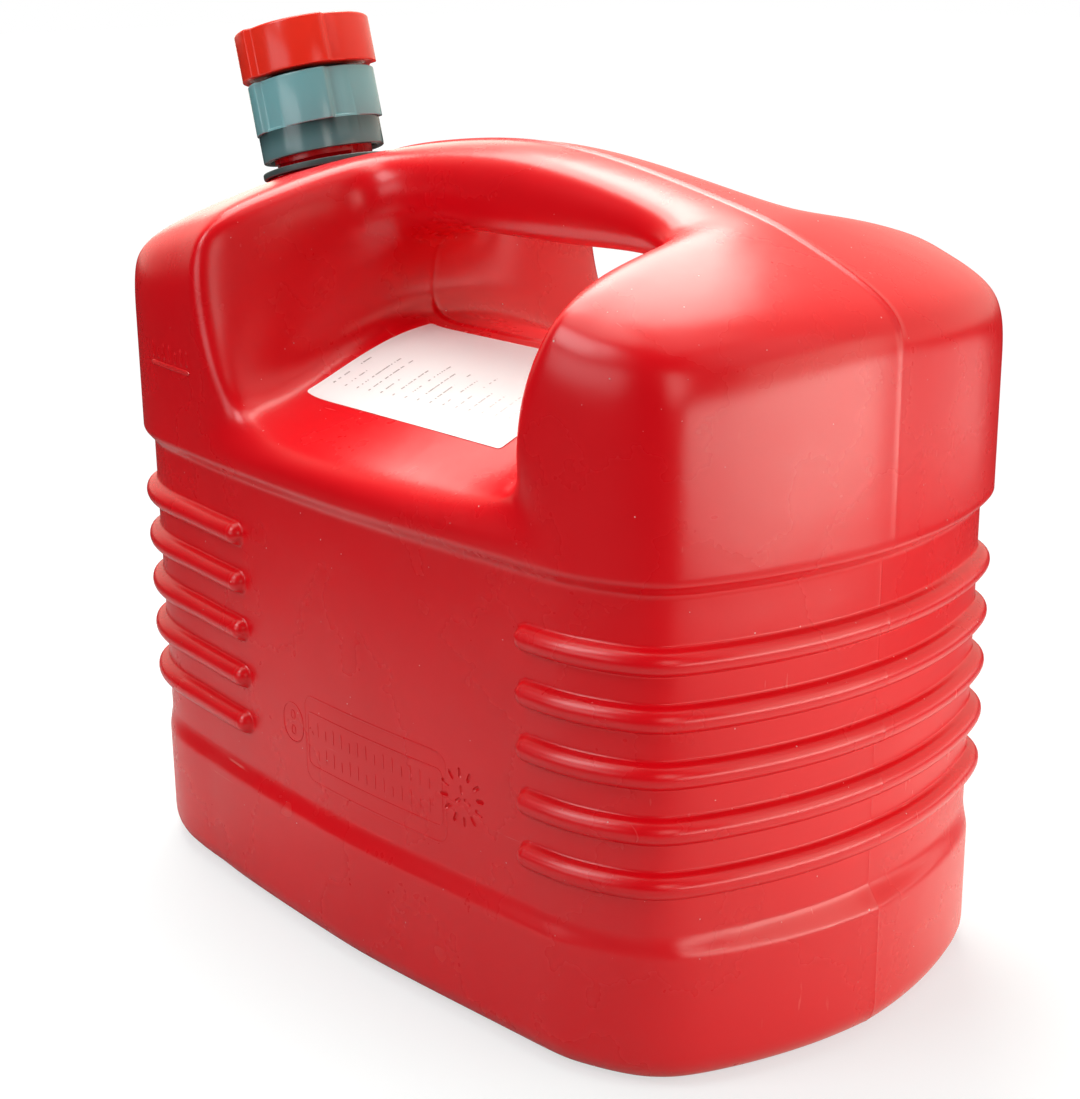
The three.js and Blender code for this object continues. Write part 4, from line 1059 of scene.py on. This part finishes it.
def band_rows():
    """Rows of the lower body from the shoulder down: height, end inset, side inset and corner inset."""
    rows = []
    undercut = ((166.5, 0.02), (165.9, 0.07), (165.2, 0.18), (164.2, 0.42))
    undercut += ((162.9, 0.74), (162.1, 0.92), (161.4, 0.99))
    for z, share in undercut:
        rows.append((z, END_INSET * share, SIDE_INSET * share, 0))
    gaps = (5.2, 4.75, 4.35, 4.0, 3.7, 3.3, 2.7, 1.9, 1.0, 0)
    offsets = list(gaps) + [-gap for gap in reversed(gaps[:-1])]
    heights = [160.2, 154, 149.6]
    for z in RIB_HEIGHTS:
        heights += [z + offset for offset in offsets] + [z - 9]
    heights += [57.4, 54.4]
    rows += [(z, END_INSET, SIDE_INSET, 0) for z in heights]
    ledge = (
        (53.2, 1), (52.5, 0.985), (51.9, 0.94), (51.2, 0.87), (50.3, 0.775), (48.6, 0.508), (46.8, 0.222),
        (46.0, 0.12), (45.3, 0.045), (44.6, 0.012), (43.9, 0), (41.5, 0), (34, 0), (22, 0),
    )
    for z, share in ledge:
        rows.append((z, END_INSET * share, SIDE_INSET * share, PLINTH_CORNER_INSET * (1 - share)))
    for step in range(9):
        turn = math.pi / 2 * step / 8
        inset = FOOT_ROUND * (1 - math.cos(turn))
        rows.append((FOOT_ROUND * (1 - math.sin(turn)), inset, inset, PLINTH_CORNER_INSET))
    for further, z in ((-0.6, 0), (0, 0.3), (2.6, BASE_PANEL_DEPTH - 0.3), (3.4, BASE_PANEL_DEPTH)):
        inset = BASE_PANEL_RIM + further
        rows.append((z, inset, inset, PLINTH_CORNER_INSET))
    return rows


def stitched(upper, upper_at, lower, lower_at, length):
    """Triangles between two closed rings of different counts, matched by place along the outline."""
    faces, u, v = [], 0, 0
    while u < len(upper) or v < len(lower):
        next_u = upper_at[u + 1] if u + 1 < len(upper) else length if u < len(upper) else math.inf
        next_v = lower_at[v + 1] if v + 1 < len(lower) else length if v < len(lower) else math.inf
        a, b = upper[u % len(upper)], lower[v % len(lower)]
        if v >= len(lower) or (u < len(upper) and next_u <= next_v):
            faces.append((a, b, upper[(u + 1) % len(upper)]))
            u += 1
        else:
            faces.append((a, b, lower[(v + 1) % len(lower)]))
            v += 1
    return faces


def lower_body(shape):
    """Adds the belt, ribs, ledge, plinth and base under the open edge of the upper skin."""
    ring = ring_of(shape)
    track = tracked(ring)
    columns, stops, seams, apart = outline_columns(track)
    base = [track["point"](s) for s in columns]
    outward = [track["out"](s) for s in columns]
    rib_gap = []
    for s, point in zip(columns, base):
        on_wrap = point[0] < FRONT_RIB_END_X or point[0] > REAR_RIB_END_X
        rib_gap.append(0 if on_wrap else min(apart(s, stop) for stop in stops))
    seam_near = [max(0, 1 - min(apart(s, seam) for seam in seams) / SEAM_HALF) for s in columns]
    rows = []
    for z, end, side, corner in band_rows():
        row = []
        for n, (point, out) in enumerate(zip(base, outward)):
            inset = side + (end - side) * abs(out[0]) + 2 * abs(out[0] * out[1]) * corner
            lift = SEAM_RAISE * seam_near[n]
            if BELT_TOP > z > PLINTH_HEIGHT + LEDGE_RISE:
                gaps = [math.hypot(z - height, rib_gap[n]) for height in RIB_HEIGHTS]
                lift += rib_rise(min(gaps))
            place = point - out * (inset - lift)
            row.append(shape.verts.new((place[0] * MM, place[1] * MM, z * MM)))
        rows.append(row)
    for a, b, c in stitched(ring, list(track["travel"][:-1]), rows[0], columns, track["length"]):
        shape.faces.new((a, b, c))
    for high, low in zip(rows, rows[1:]):
        for n, vert in enumerate(high):
            m = (n + 1) % len(high)
            shape.faces.new((vert, low[n], low[m], high[m]))
    middle = shape.verts.new((0, 0, BASE_PANEL_DEPTH * MM))
    last = rows[-1]
    for n, vert in enumerate(last):
        shape.faces.new((middle, last[(n + 1) % len(last)], vert))


def hollow_of_tank():
    """The inside of the tank and its bore, from the frame's own solid, closed above the neck as a cutter."""
    shape = opened(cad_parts["tank"])
    bmesh.ops.remove_doubles(shape, verts=shape.verts, dist=1e-6)
    back = CLOSURE.inverted()
    rim, bore = [], []
    for face in shape.faces:
        centre = back @ (face.calc_center_median() / MM)
        if abs(centre.z - NECK_TOP) < 0.05 and math.hypot(centre.x, centre.y) < NECK_RADIUS + 1:
            rim.append(face)
        elif 1 < centre.z < NECK_TOP and math.hypot(centre.x, centre.y) < BORE_RADIUS + 0.3:
            bore.append(face)
    bmesh.ops.delete(shape, geom=rim, context="FACES_ONLY")
    inside, reached = list(bore), set(bore)
    while inside:
        face = inside.pop()
        for edge in face.edges:
            for other in edge.link_faces:
                if other not in reached:
                    reached.add(other)
                    inside.append(other)
    bmesh.ops.delete(shape, geom=[f for f in shape.faces if f not in reached], context="FACES")
    loop = [edge for edge in shape.edges if edge.is_boundary]
    grown = bmesh.ops.extrude_edge_only(shape, edges=loop)["geom"]
    lift = (CLOSURE.to_3x3() @ Vector((0, 0, 4))) * MM
    raised = [part for part in grown if isinstance(part, bmesh.types.BMVert)]
    bmesh.ops.translate(shape, verts=raised, vec=lift)
    bmesh.ops.holes_fill(shape, edges=[edge for edge in shape.edges if edge.is_boundary], sides=0)
    bmesh.ops.recalc_face_normals(shape, faces=shape.faces)
    return written(shape, linked("hollow", bpy.data.meshes.new("hollow")))


def neck_body():
    """The threaded neck on its boss, solid, to be joined with the skin and bored through."""
    profile = [
        (0, NECK_ROOT), (BOSS_RADIUS + 6, NECK_ROOT), (BOSS_RADIUS, BOSS_TOP), (NECK_CORE + 1.2, BOSS_TOP),
        (NECK_CORE + 0.3, BOSS_TOP + 0.5), (NECK_CORE, BOSS_TOP + 1.6), (NECK_CORE, NECK_TOP - 1),
        (NECK_CORE - 0.6, NECK_TOP), (0, NECK_TOP),
    ]
    neck = lathe("neck", profile, 128)
    bead = thread("neck_thread", RED, NECK_CORE, NECK_RADIUS, NECK_PITCH, low=-1.4, turns=2.6, width=3.4)
    return joined_by("UNION", neck, bead)


# Marks moulded in the walls: bare rings, frames, bars and ticks

OVAL_MIDDLE, DIAL_MIDDLE = (-26.3, 79.2), (64.8, 79.6)
FRAME_MIDDLE = (19.3, 76.3)
LEVEL_MIDDLE = (-96.3, 195.6)


def wall_mark(tree, wall, middle, width, rise, **sizes):
    """One mark on the near wall, by its middle's place along the wall and its height, in millimetres."""
    lengths = {key: value * MM if isinstance(value, float) else value for key, value in sizes.items()}
    place = Vector((middle[0], 0, middle[1])) * MM
    return made_by(tree, "mark", RED, Wall=wall, Middle=place, Width=width * MM, Rise=rise * MM, **lengths)


def merged(name, parts):
    """Several closed pieces in one mesh."""
    shape = bmesh.new()
    for part in parts:
        shape.from_mesh(part.data)
        bpy.data.objects.remove(part)
    return tidied(written(shape, linked(name, bpy.data.meshes.new(name))))


def mould_marks(wall):
    """The raised marks and the sunk ones, each as one mesh to be joined with the skin."""
    level_bars = (LEVEL_MIDDLE[0] - 13.2, LEVEL_MIDDLE[1] + 1.9)
    raised = [
        wall_mark(OUTLINE, wall, OVAL_MIDDLE, 0.6, 0.2, Across=12.4, High=14.6, Corner=6.15, Points=48),
        wall_mark(OUTLINE, wall, FRAME_MIDDLE, 0.7, 0.12, Across=75.7, High=32.0, Corner=4.5),
        wall_mark(OUTLINE, wall, FRAME_MIDDLE, 0.6, 0.16, Across=72.2, High=20.0, Corner=2.2),
        wall_mark(BARS, wall, (-10.8, 77.9), 0.7, 0.2, Count=14, Pitch=4.62, Length=5.6),
        wall_mark(BARS, wall, (-10.8, 69.2), 0.7, 0.2, Count=14, Pitch=4.62, Length=5.6, First=1),
        wall_mark(BARS, wall, level_bars, 1.1, 0.45, Count=7, Pitch=4.4, Length=6.0),
        wall_mark(OUTLINE, wall, LEVEL_MIDDLE, 1.1, 0.45, Across=29.0, High=0.7, Corner=0.3, Points=60),
    ]
    for side in (-2.9, 2.9):
        middle = (OVAL_MIDDLE[0], OVAL_MIDDLE[1] + side)
        eye = wall_mark(OUTLINE, wall, middle, 0.5, 0.18, Across=2.4, High=3.2, Corner=1.15, Points=20)
        raised.append(eye)
    sunk = [
        wall_mark(TICKS, wall, DIAL_MIDDLE, 1.5, 0.7, Count=12, Radius=6.5, Length=3.7),
        wall_mark(TICKS, wall, DIAL_MIDDLE, 1.4, 0.6, Count=3, Radius=0.9, Length=3.3),
    ]
    return merged("raised_marks", raised), merged("sunk_marks", sunk)


def folded_at_marks(skin):
    """Keeps the plain wall flat in its shading round the moulded marks."""
    boxes = (
        (OVAL_MIDDLE[0] - 8, DIAL_MIDDLE[0] + 12, FRAME_MIDDLE[1] - 18, FRAME_MIDDLE[1] + 18),
        (LEVEL_MIDDLE[0] - 17, LEVEL_MIDDLE[0] + 17, LEVEL_MIDDLE[1] - 4, LEVEL_MIDDLE[1] + 11),
    )
    shape = opened(skin)
    for edge in shape.edges:
        place = edge.verts[0].co / MM
        near = any(low < place.x < high and foot < place.z < top for low, high, foot, top in boxes)
        if near and place.y < -HALF_WIDTH / 2 and len(edge.link_faces) == 2:
            if edge.calc_face_angle(0) > math.radians(9):
                edge.smooth = False
    return written(shape, skin)


def moulded_tank():
    """The tank's shell with its neck, marks and hollow, and the label that lies on its recess floor."""
    skin = upper_skin()
    shape = opened(skin)
    raised_seam(shape)
    label = label_of(shape)
    lower_body(shape)
    bmesh.ops.recalc_face_normals(shape, faces=shape.faces)
    bmesh.ops.triangulate(shape, faces=[face for face in shape.faces if len(face.verts) > 4])
    for face in shape.faces:
        face.material_index = 0
    written(shape, skin).name = "tank_shell"
    raised, sunk = mould_marks(skin)
    joined_by("UNION", skin, neck_body())
    joined_by("UNION", skin, raised)
    joined_by("DIFFERENCE", skin, sunk)
    joined_by("DIFFERENCE", skin, hollow_of_tank())
    return folded_at_marks(shaded(skin, 38)), label


# The instruction label on the floor of the recess

LABEL_X, LABEL_Y, LABEL_ROUND = (-50.0, 55.5), (-65.6, -8.4), 1.2
LABEL_LIFT, LABEL_THICKNESS = 0.12, 0.16


def label_of(shape):
    """A rounded rectangle of the recess floor, lifted off it as a thin sheet of film."""
    film = bmesh.new()
    twin = {}
    for face in shape.faces:
        if face.material_index == 1:
            for vert in face.verts:
                if vert not in twin:
                    twin[vert] = film.verts.new(vert.co)
            film.faces.new([twin[vert] for vert in face.verts])
    middle = Vector((sum(LABEL_X) / 2, sum(LABEL_Y) / 2, 0))
    half = Vector(((LABEL_X[1] - LABEL_X[0]) / 2, (LABEL_Y[1] - LABEL_Y[0]) / 2, 0))
    for quarter in range(4):
        for step in range(6):
            angle = math.pi / 2 * (quarter + step / 6)
            outward = Vector((math.cos(angle), math.sin(angle), 0))
            to_right, to_back = quarter in (0, 3), quarter in (0, 1)
            reach_x = (half.x - LABEL_ROUND) * (1 if to_right else -1)
            reach_y = (half.y - LABEL_ROUND) * (1 if to_back else -1)
            corner = Vector((reach_x, reach_y, 0))
            edge = middle + corner + outward * LABEL_ROUND
            parts = film.verts[:] + film.edges[:] + film.faces[:]
            bmesh.ops.bisect_plane(
                film, geom=parts, dist=1e-7, plane_co=edge * MM, plane_no=outward, clear_outer=True
            )
    film.normal_update()
    for vert in film.verts:
        vert.co += vert.normal * LABEL_LIFT * MM
    label = written(film, linked("label_film", bpy.data.meshes.new("label_film")))
    thick = label.modifiers.new("thick", "SOLIDIFY")
    thick.thickness = LABEL_THICKNESS * MM
    thick.offset = 1
    return shaded(settled(label), 50)


tank, label = moulded_tank()


# Closure and spout, drawn about the neck's axis with height 0 at the lower edge of the nut

GAP = 0.4
RING_THICKNESS, RING_RADIUS = 2.5, 24.9
SKIRT_RADIUS, GRIP_HEIGHT, NUT_RADIUS, NUT_ROOF = 23.7, 19.3, 25.2, 4.4
LOBE_COUNT, LOBE_STEP, LOBE_POINTS = 5, 2.2, 22
NUT_TURN, CAP_TURN = math.radians(-22), math.radians(-17)
GASKET_THICKNESS, FLANGE_THICKNESS = 1.7, 1.8
STUB_RADIUS, STUB_CORE, STUB_BORE = 15.6, 14.7, 11.5
CAP_GAP, CAP_RADIUS, CAP_HEIGHT, CAP_ROOF, LINER_THICKNESS = 1.7, 26.8, 18.2, 2.2, 1.4
SOCKET_DEPTH, SOCKET_RADIUS = 12.5, 16.1
HOSE_RADIUS, HOSE_WAIST, HOSE_WALL, CUFF_RADIUS, CUFF_LENGTH = 14, 12.1, 1.9, 13.2, 10.5
HOSE_LENGTH, HOSE_BORE, HOSE_RIBS = 133.8, 10.2, 13
NOZZLE_LENGTH, NOZZLE_TIP_RADIUS, NOZZLE_TIP_BORE, NOZZLE_SOCKET_RADIUS = 54.4, 10, 7.9, 15.3
CAP_PITCH = 4

NUT_TOP = SKIRT_HEIGHT + GRIP_HEIGHT
FLANGE_LOW = NECK_TOP + GASKET_THICKNESS + 2 * GAP
FLANGE_HIGH = FLANGE_LOW + FLANGE_THICKNESS
CAP_LOW = NUT_TOP + CAP_GAP
CAP_TOP = CAP_LOW + CAP_HEIGHT
LINER_TOP = CAP_TOP - CAP_ROOF - GAP
STUB_TOP = LINER_TOP - LINER_THICKNESS - GAP
SOCKET_LOW = FLANGE_LOW - SOCKET_DEPTH
HOSE_TOP = FLANGE_LOW - GAP
HOSE_LOW = HOSE_TOP - HOSE_LENGTH


def lobed_outline(radius, start):
    """Ratchet lobes: the radius grows round each lobe and falls back in a slanted step."""
    first = LOBE_STEP / radius / (2 * math.pi / LOBE_COUNT)
    points = []
    for lobe in range(LOBE_COUNT):
        for n in range(LOBE_POINTS):
            share = n / (LOBE_POINTS - 1)
            turn = start + (lobe + first + (1 - first) * share) / LOBE_COUNT * 2 * math.pi
            reach = radius - LOBE_STEP * (1 - share)
            points.append((reach * math.cos(turn), reach * math.sin(turn)))
    return rounded(points, 0.6)


def upright(name, outline, rows):
    """A closed solid: an outline drawn in by an inset at each height, with a centre point at both ends."""
    verts, faces = [], []
    count = len(outline)
    for inset, z in rows:
        for x, y in outline:
            keep = 1 - inset / math.hypot(x, y)
            verts.append(CLOSURE @ Vector((x * keep, y * keep, z)))
    for r in range(len(rows) - 1):
        for n in range(count):
            m = (n + 1) % count
            faces.append((r * count + n, r * count + m, (r + 1) * count + m, (r + 1) * count + n))
    for r, z in ((0, rows[0][1]), (len(rows) - 1, rows[-1][1])):
        verts.append(CLOSURE @ Vector((0, 0, z)))
        faces += [(r * count + n, r * count + (n + 1) % count, len(verts) - 1) for n in range(count)]
    return shaded(tidied(mesh_of(name, verts, faces)))


def soft_rows(low, high, foot, crown, inner):
    """Rows of an upright solid with its lower and upper edges rounded, and a ring well inside each end."""
    rows = [(inner, low)]
    for n in range(5):
        turn = math.pi / 2 * n / 4
        rows.append((foot * (1 - math.sin(turn)), low + foot * (1 - math.cos(turn))))
    for n in range(6):
        turn = math.pi / 2 * n / 5
        rows.append((crown * (1 - math.cos(turn)), high - crown * (1 - math.sin(turn))))
    return rows + [(inner, high)]


def union_nut():
    """Plain skirt and lobed grip in one, with a roof over the flange and a thread inside."""
    skirt_profile = [(0, 0), (SKIRT_RADIUS, 0), (SKIRT_RADIUS, SKIRT_HEIGHT + 1), (0, SKIRT_HEIGHT + 1)]
    nut = lathe("nut", rounded(skirt_profile, 0.6), 144)
    grip = upright(
        "nut_grip", lobed_outline(NUT_RADIUS, NUT_TURN), soft_rows(SKIRT_HEIGHT, NUT_TOP, 0.35, 0.7, 8)
    )
    joined_by("UNION", nut, grip)
    bore = NECK_RADIUS + GAP
    roof = NUT_TOP - NUT_ROOF
    hollow = [
        (0, -1), (bore + 1.4, -1), (bore + 0.7, 0.1), (bore, 1), (bore, roof), (STUB_RADIUS + GAP, roof),
        (STUB_RADIUS + GAP, NUT_TOP - 0.5), (STUB_RADIUS + GAP + 1, NUT_TOP + 0.5), (0, NUT_TOP + 0.5),
    ]
    joined_by("DIFFERENCE", nut, lathe("nut_hollow", hollow, 144))
    ridge = thread("nut_thread", GREY_GREEN, bore, bore - 1.2, NECK_PITCH, low=1.8, turns=2.1, width=2.4)
    return shaded(joined_by("UNION", nut, ridge))


def cap():
    """Lobed screw cap with a small sunk disc in the middle of its top and a thread inside."""
    rows = soft_rows(CAP_LOW, CAP_TOP, 0.45, 1.1, 9)
    rows += [(CAP_RADIUS - 5, CAP_TOP), (CAP_RADIUS - 5.6, CAP_TOP - 0.35)]
    top = upright("cap_shell", lobed_outline(CAP_RADIUS, CAP_TURN), rows)
    bore = STUB_RADIUS + GAP
    hollow = [
        (0, CAP_LOW - 1), (bore + 1.4, CAP_LOW - 1), (bore + 0.6, CAP_LOW + 0.1), (bore, CAP_LOW + 0.9),
        (bore, CAP_TOP - CAP_ROOF), (0, CAP_TOP - CAP_ROOF),
    ]
    joined_by("DIFFERENCE", top, lathe("cap_hollow", hollow, 128))
    low = CAP_LOW + 2.6
    ridge = thread("cap_thread", BRIGHT_RED, bore, bore - 0.7, CAP_PITCH, low, turns=2, width=1.5)
    return shaded(joined_by("UNION", top, ridge))


def spout_collar():
    """Flange that the nut clamps, with a threaded stub above it and a socket for the hose below."""
    cuff = CUFF_RADIUS + GAP
    profile = [
        (STUB_BORE, HOSE_TOP + GAP), (cuff, HOSE_TOP + GAP), (cuff, SOCKET_LOW), (SOCKET_RADIUS, SOCKET_LOW),
        (SOCKET_RADIUS, FLANGE_LOW), (NECK_RADIUS, FLANGE_LOW), (NECK_RADIUS, FLANGE_HIGH),
        (STUB_CORE, FLANGE_HIGH), (STUB_CORE, STUB_TOP), (STUB_BORE, STUB_TOP),
    ]
    collar = lathe("collar", rounded(profile, 0.45), 112)
    low = CAP_LOW + 2.6 - CAP_PITCH / 2
    ridge = thread("stub_thread", SPOUT_BLACK, STUB_CORE, STUB_RADIUS, CAP_PITCH, low, turns=2.9, width=1.8)
    return shaded(joined_by("UNION", collar, ridge))


def spout_hose():
    """Ribbed hose with an even wall and plain cuffs, its ribs round at the crest and narrow at the waist."""
    straight = CUFF_LENGTH + SOCKET_DEPTH / 4
    sizes = dict(
        Low=HOSE_LOW, High=HOSE_TOP, Ribs_Low=HOSE_LOW + straight, Ribs_High=HOSE_TOP - straight,
        Crest=HOSE_RADIUS, Waist=HOSE_WAIST, Cuff=CUFF_RADIUS, Wall=HOSE_WALL,
    )
    sizes = {key: value * MM for key, value in sizes.items()}
    hose = made_by(RIBBED, "hose", SPOUT_BLACK, Ribs=HOSE_RIBS, **sizes)
    hose.data.transform(placed_on_neck())
    return shaded(tidied(hose), 50)


def spout_nozzle():
    """Tapered outlet with a socket over the hose's lower cuff."""
    top, seat = HOSE_LOW + CUFF_LENGTH, HOSE_LOW - GAP
    tip = seat - NOZZLE_LENGTH
    cuff = CUFF_RADIUS + GAP
    profile = [
        (HOSE_BORE, seat), (HOSE_BORE - 0.6, seat - 12), (NOZZLE_TIP_BORE, tip + 13), (NOZZLE_TIP_BORE, tip),
        (NOZZLE_TIP_RADIUS, tip), (NOZZLE_TIP_RADIUS, tip + 2), (NOZZLE_TIP_RADIUS - 0.5, tip + 2.6),
        (NOZZLE_TIP_RADIUS - 0.4, tip + 12), (HOSE_BORE + 4.6, seat - 5),
        (NOZZLE_SOCKET_RADIUS - 0.7, seat - 1.2), (NOZZLE_SOCKET_RADIUS - 0.7, top - 3.4),
        (NOZZLE_SOCKET_RADIUS, top - 2.8), (NOZZLE_SOCKET_RADIUS, top), (cuff, top), (cuff, seat),
    ]
    return lathe("nozzle", rounded(profile, 0.5), 96)


def plain_ring(name, outer, inner, low, high, radius):
    profile = [(inner, low), (outer, low), (outer, high), (inner, high)]
    return lathe(name, rounded(profile, radius), 144)


def cap_liner():
    """A sealing disc, a little thicker where it meets the rim of the stub."""
    low = STUB_TOP + GAP
    profile = [
        (0, low + 0.3), (STUB_BORE - 1, low + 0.3), (STUB_BORE - 0.5, low), (STUB_RADIUS, low),
        (STUB_RADIUS, LINER_TOP), (0, LINER_TOP),
    ]
    return lathe("liner", rounded(profile, 0.3), 96)


RING_LOW = BOSS_TOP + GAP
GASKET_LOW = NECK_TOP + GAP
GASKET_RADIUS = 19.1


# What each piece rides on, stands for and is made of

PIECES = (
    (tank, "tank_body", "tank", "tank_red", RED),
    (label, "tank_body", "instruction_label", "label_white", PRINTED),
    (
        plain_ring("ring", RING_RADIUS, NECK_RADIUS + GAP, RING_LOW, RING_LOW + RING_THICKNESS, 0.7),
        "ring_body", "neck_ring", "ring_grey", DARK_GREY,
    ),
    (
        plain_ring("gasket", GASKET_RADIUS, BORE_RADIUS, GASKET_LOW, GASKET_LOW + GASKET_THICKNESS, 0.4),
        "gasket_body", "nut_gasket", "seal_black", RUBBER,
    ),
    (spout_collar(), "spout_body", "spout_collar", "spout_black", SPOUT_BLACK),
    (spout_hose(), "spout_body", "spout_hose", "spout_black", SPOUT_BLACK),
    (spout_nozzle(), "spout_body", "spout_nozzle", "spout_black", SPOUT_BLACK),
    (union_nut(), "nut_body", "union_nut", "nut_grey", GREY_GREEN),
    (cap_liner(), "liner_body", "cap_liner", "seal_black", RUBBER),
    (cap(), "cap_body", "cap", "cap_red", BRIGHT_RED),
)
for piece, body, node, slot, material in PIECES:
    piece.data.materials.clear()
    piece.data.materials.append(material)
    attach(piece, body)
    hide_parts(node)


# Camera, floor and light

EYE = Vector((0.52902, -0.46571, 0.34770))
BEHIND = Vector((-0.35, 0.93, 0.1)).normalized()
BOARD_AT = Vector((0.28, 0.1, 0))
YAW, PITCH, ROLL = math.radians(48.66), math.radians(17.25), math.radians(-0.58)
FOCAL_LENGTH, PICTURE_HEIGHT = 2019.4, 1099
AIM = Vector((0.02, -0.01, 0.18))
WARM, WARMER, PLAIN = (1, 0.955, 0.88), (1, 0.9, 0.76), (1, 1, 1)


def photo_camera():
    """The camera fitted to the photograph."""
    ahead = Vector((-math.sin(YAW) * math.cos(PITCH), math.cos(YAW) * math.cos(PITCH), -math.sin(PITCH)))
    right = Vector((math.cos(YAW), math.sin(YAW), 0))
    up = right.cross(ahead)
    right, up = right * math.cos(ROLL) + up * math.sin(ROLL), up * math.cos(ROLL) - right * math.sin(ROLL)
    data = bpy.data.cameras.new("photo_camera")
    data.sensor_width = 36
    data.lens = FOCAL_LENGTH / PICTURE_HEIGHT * data.sensor_width
    data.clip_start = 0.02
    camera = linked("photo_camera", data)
    turn = Matrix((right, up, -ahead)).transposed().to_4x4()
    camera.matrix_world = Matrix.Translation(EYE) @ turn
    bpy.context.scene.camera = camera


def softbox(name, place, size, power, colour):
    data = bpy.data.lights.new(name, "AREA")
    data.shape = "RECTANGLE"
    data.size, data.size_y = size
    data.energy = power
    data.color = colour
    lamp = linked(name, data)
    lamp.location = place
    lamp.rotation_euler = (AIM - Vector(place)).to_track_quat("-Z", "Y").to_euler()


def white_floor():
    """Matt for the light it sends back, lifted to white for the camera, with a board seen only in gloss."""
    data = bpy.data.meshes.new("floor")
    far = 6
    data.from_pydata([(-far, -far, 0), (far, -far, 0), (far, far, 0), (-far, far, 0)], [], [(0, 1, 2, 3)])
    floor = linked("floor", data)
    made = bpy.data.materials.new("white_sweep")
    made.use_nodes = True
    made.node_tree.nodes.clear()
    shade = Web(made.node_tree)
    black = (0, 0, 0, 1)
    place = shade.node("TexCoord").outputs["Object"]
    away = shade.vector_math("LENGTH", n0=place)["Value"]
    tone = shade.ramp(shade.noise(place, 6, 3.0), 0.3, 0.7)
    colour = shade.mix(tone, (0.78, 0.79, 0.8, 1), (0.8, 0.81, 0.82, 1))
    near = shade.ramp(away, 0.22, 0.62, 0.6, 0.07)
    matt = shade.result("BsdfDiffuse", Color=shade.mix(near, black, colour))

    fade_from, fade_to = 0.3, 0.64
    shown = shade.ramp(away, fade_from, fade_to, 0.57, 0.02)
    seen_matt = shade.result("BsdfDiffuse", Color=shade.mix(shown, black, (0.7, 0.8, 0.83, 1)))
    raised = shade.ramp(away, fade_from, fade_to, 0.6, 1.04)
    lift = shade.result("Emission", Color=(0.985, 1, 1, 1), Strength=raised)
    seen = shade.result("AddShader", n0=seen_matt, n1=lift)

    from_board = shade.vector_math("DISTANCE", n0=place, n1=BOARD_AT)["Value"]
    glow = shade.ramp(from_board, 0.3, 0.1, 0.0, 0.7)
    board = shade.result("Emission", Color=(*WARMER, 1), Strength=glow)
    lit = shade.result("AddShader", n0=matt, n1=board)

    paths = shade.node("LightPath").outputs
    unseen = shade.result("MixShader", Fac=paths["Is Glossy Ray"], n1=matt, n2=lit)
    both = shade.result("MixShader", Fac=paths["Is Camera Ray"], n1=unseen, n2=seen)
    shade.node("OutputMaterial", Surface=both)
    data.materials.append(made)
    floor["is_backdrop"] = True


def white_world():
    """White where the camera looks, a fill for the pieces and a dimmer surround in their gloss."""
    world = bpy.data.worlds.new("white_studio")
    world.use_nodes = True
    bpy.context.scene.world = world
    world.node_tree.nodes.clear()
    shade = Web(world.node_tree)
    paths = shade.node("LightPath").outputs
    facing = shade.node("TexCoord").outputs["Generated"]
    towards = shade.vector_math("DOT_PRODUCT", n0=facing, n1=BEHIND)["Value"]
    behind = shade.ramp(towards, -0.15, 0.45)
    fill_power = shade.math("MULTIPLY_ADD", behind, 0.3, 0.1)
    fill = shade.result("Background", Color=(1, 0.97, 0.93, 1), Strength=fill_power)
    gloss_power = shade.math("MULTIPLY_ADD", behind, 0.9, 0.015)
    gloss = shade.result("Background", Color=(*WARMER, 1), Strength=gloss_power)
    seen = shade.result("Background", Color=(1, 1, 1, 1), Strength=1.0)
    unseen = shade.result("MixShader", Fac=paths["Is Glossy Ray"], n1=fill, n2=gloss)
    both = shade.result("MixShader", Fac=paths["Is Camera Ray"], n1=unseen, n2=seen)
    shade.node("OutputWorld", Surface=both)


photo_camera()
white_floor()
white_world()
for name, place, size, power, colour in (
    ("top_softbox", (-0.4, 0.25, 1.1), (0.8, 0.8), 11.5, WARM),
    ("top_back_softbox", (-0.523, 0.523, 1.061), (0.5, 0.5), 2.4, WARM),
    ("top_front_softbox", (-0.197, -0.341, 1.261), (0.55, 0.55), 2.6, WARM),
    ("top_right_softbox", (0.393, 0, 1.261), (0.55, 0.55), 0.9, WARM),
    ("front_softbox", (-0.22, -0.87, 0.88), (0.5, 0.5), 4.2, PLAIN),
    ("low_front_softbox", (-0.13, -1.08, 0.352), (0.7, 0.34), 1.5, PLAIN),
    ("camera_softbox", (0.78, -0.42, 0.38), (0.22, 0.36), 0.6, WARM),
    ("high_right_softbox", (0.892, 0.157, 0.888), (0.6, 0.6), 0.9, WARM),
    ("right_softbox", (0.63, 0.19, 0.22), (0.4, 0.42), 0.9, WARMER),
    ("foot_softbox", (0.74, 0.1, 0.065), (0.8, 0.12), 1.6, WARM),
    ("back_foot_softbox", (0.42, 0.58, 0.065), (0.6, 0.12), 0.3, WARM),
    ("rim_softbox", (-0.941, 0.543, 0.352), (0.5, 0.4), 1.2, WARMER),
):
    softbox(name, place, size, power, colour)
bpy.context.scene.view_settings.view_transform = "Standard"

size = {"cad_box": CAD_BOX, "visual_box": [list(corner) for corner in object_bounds()]}
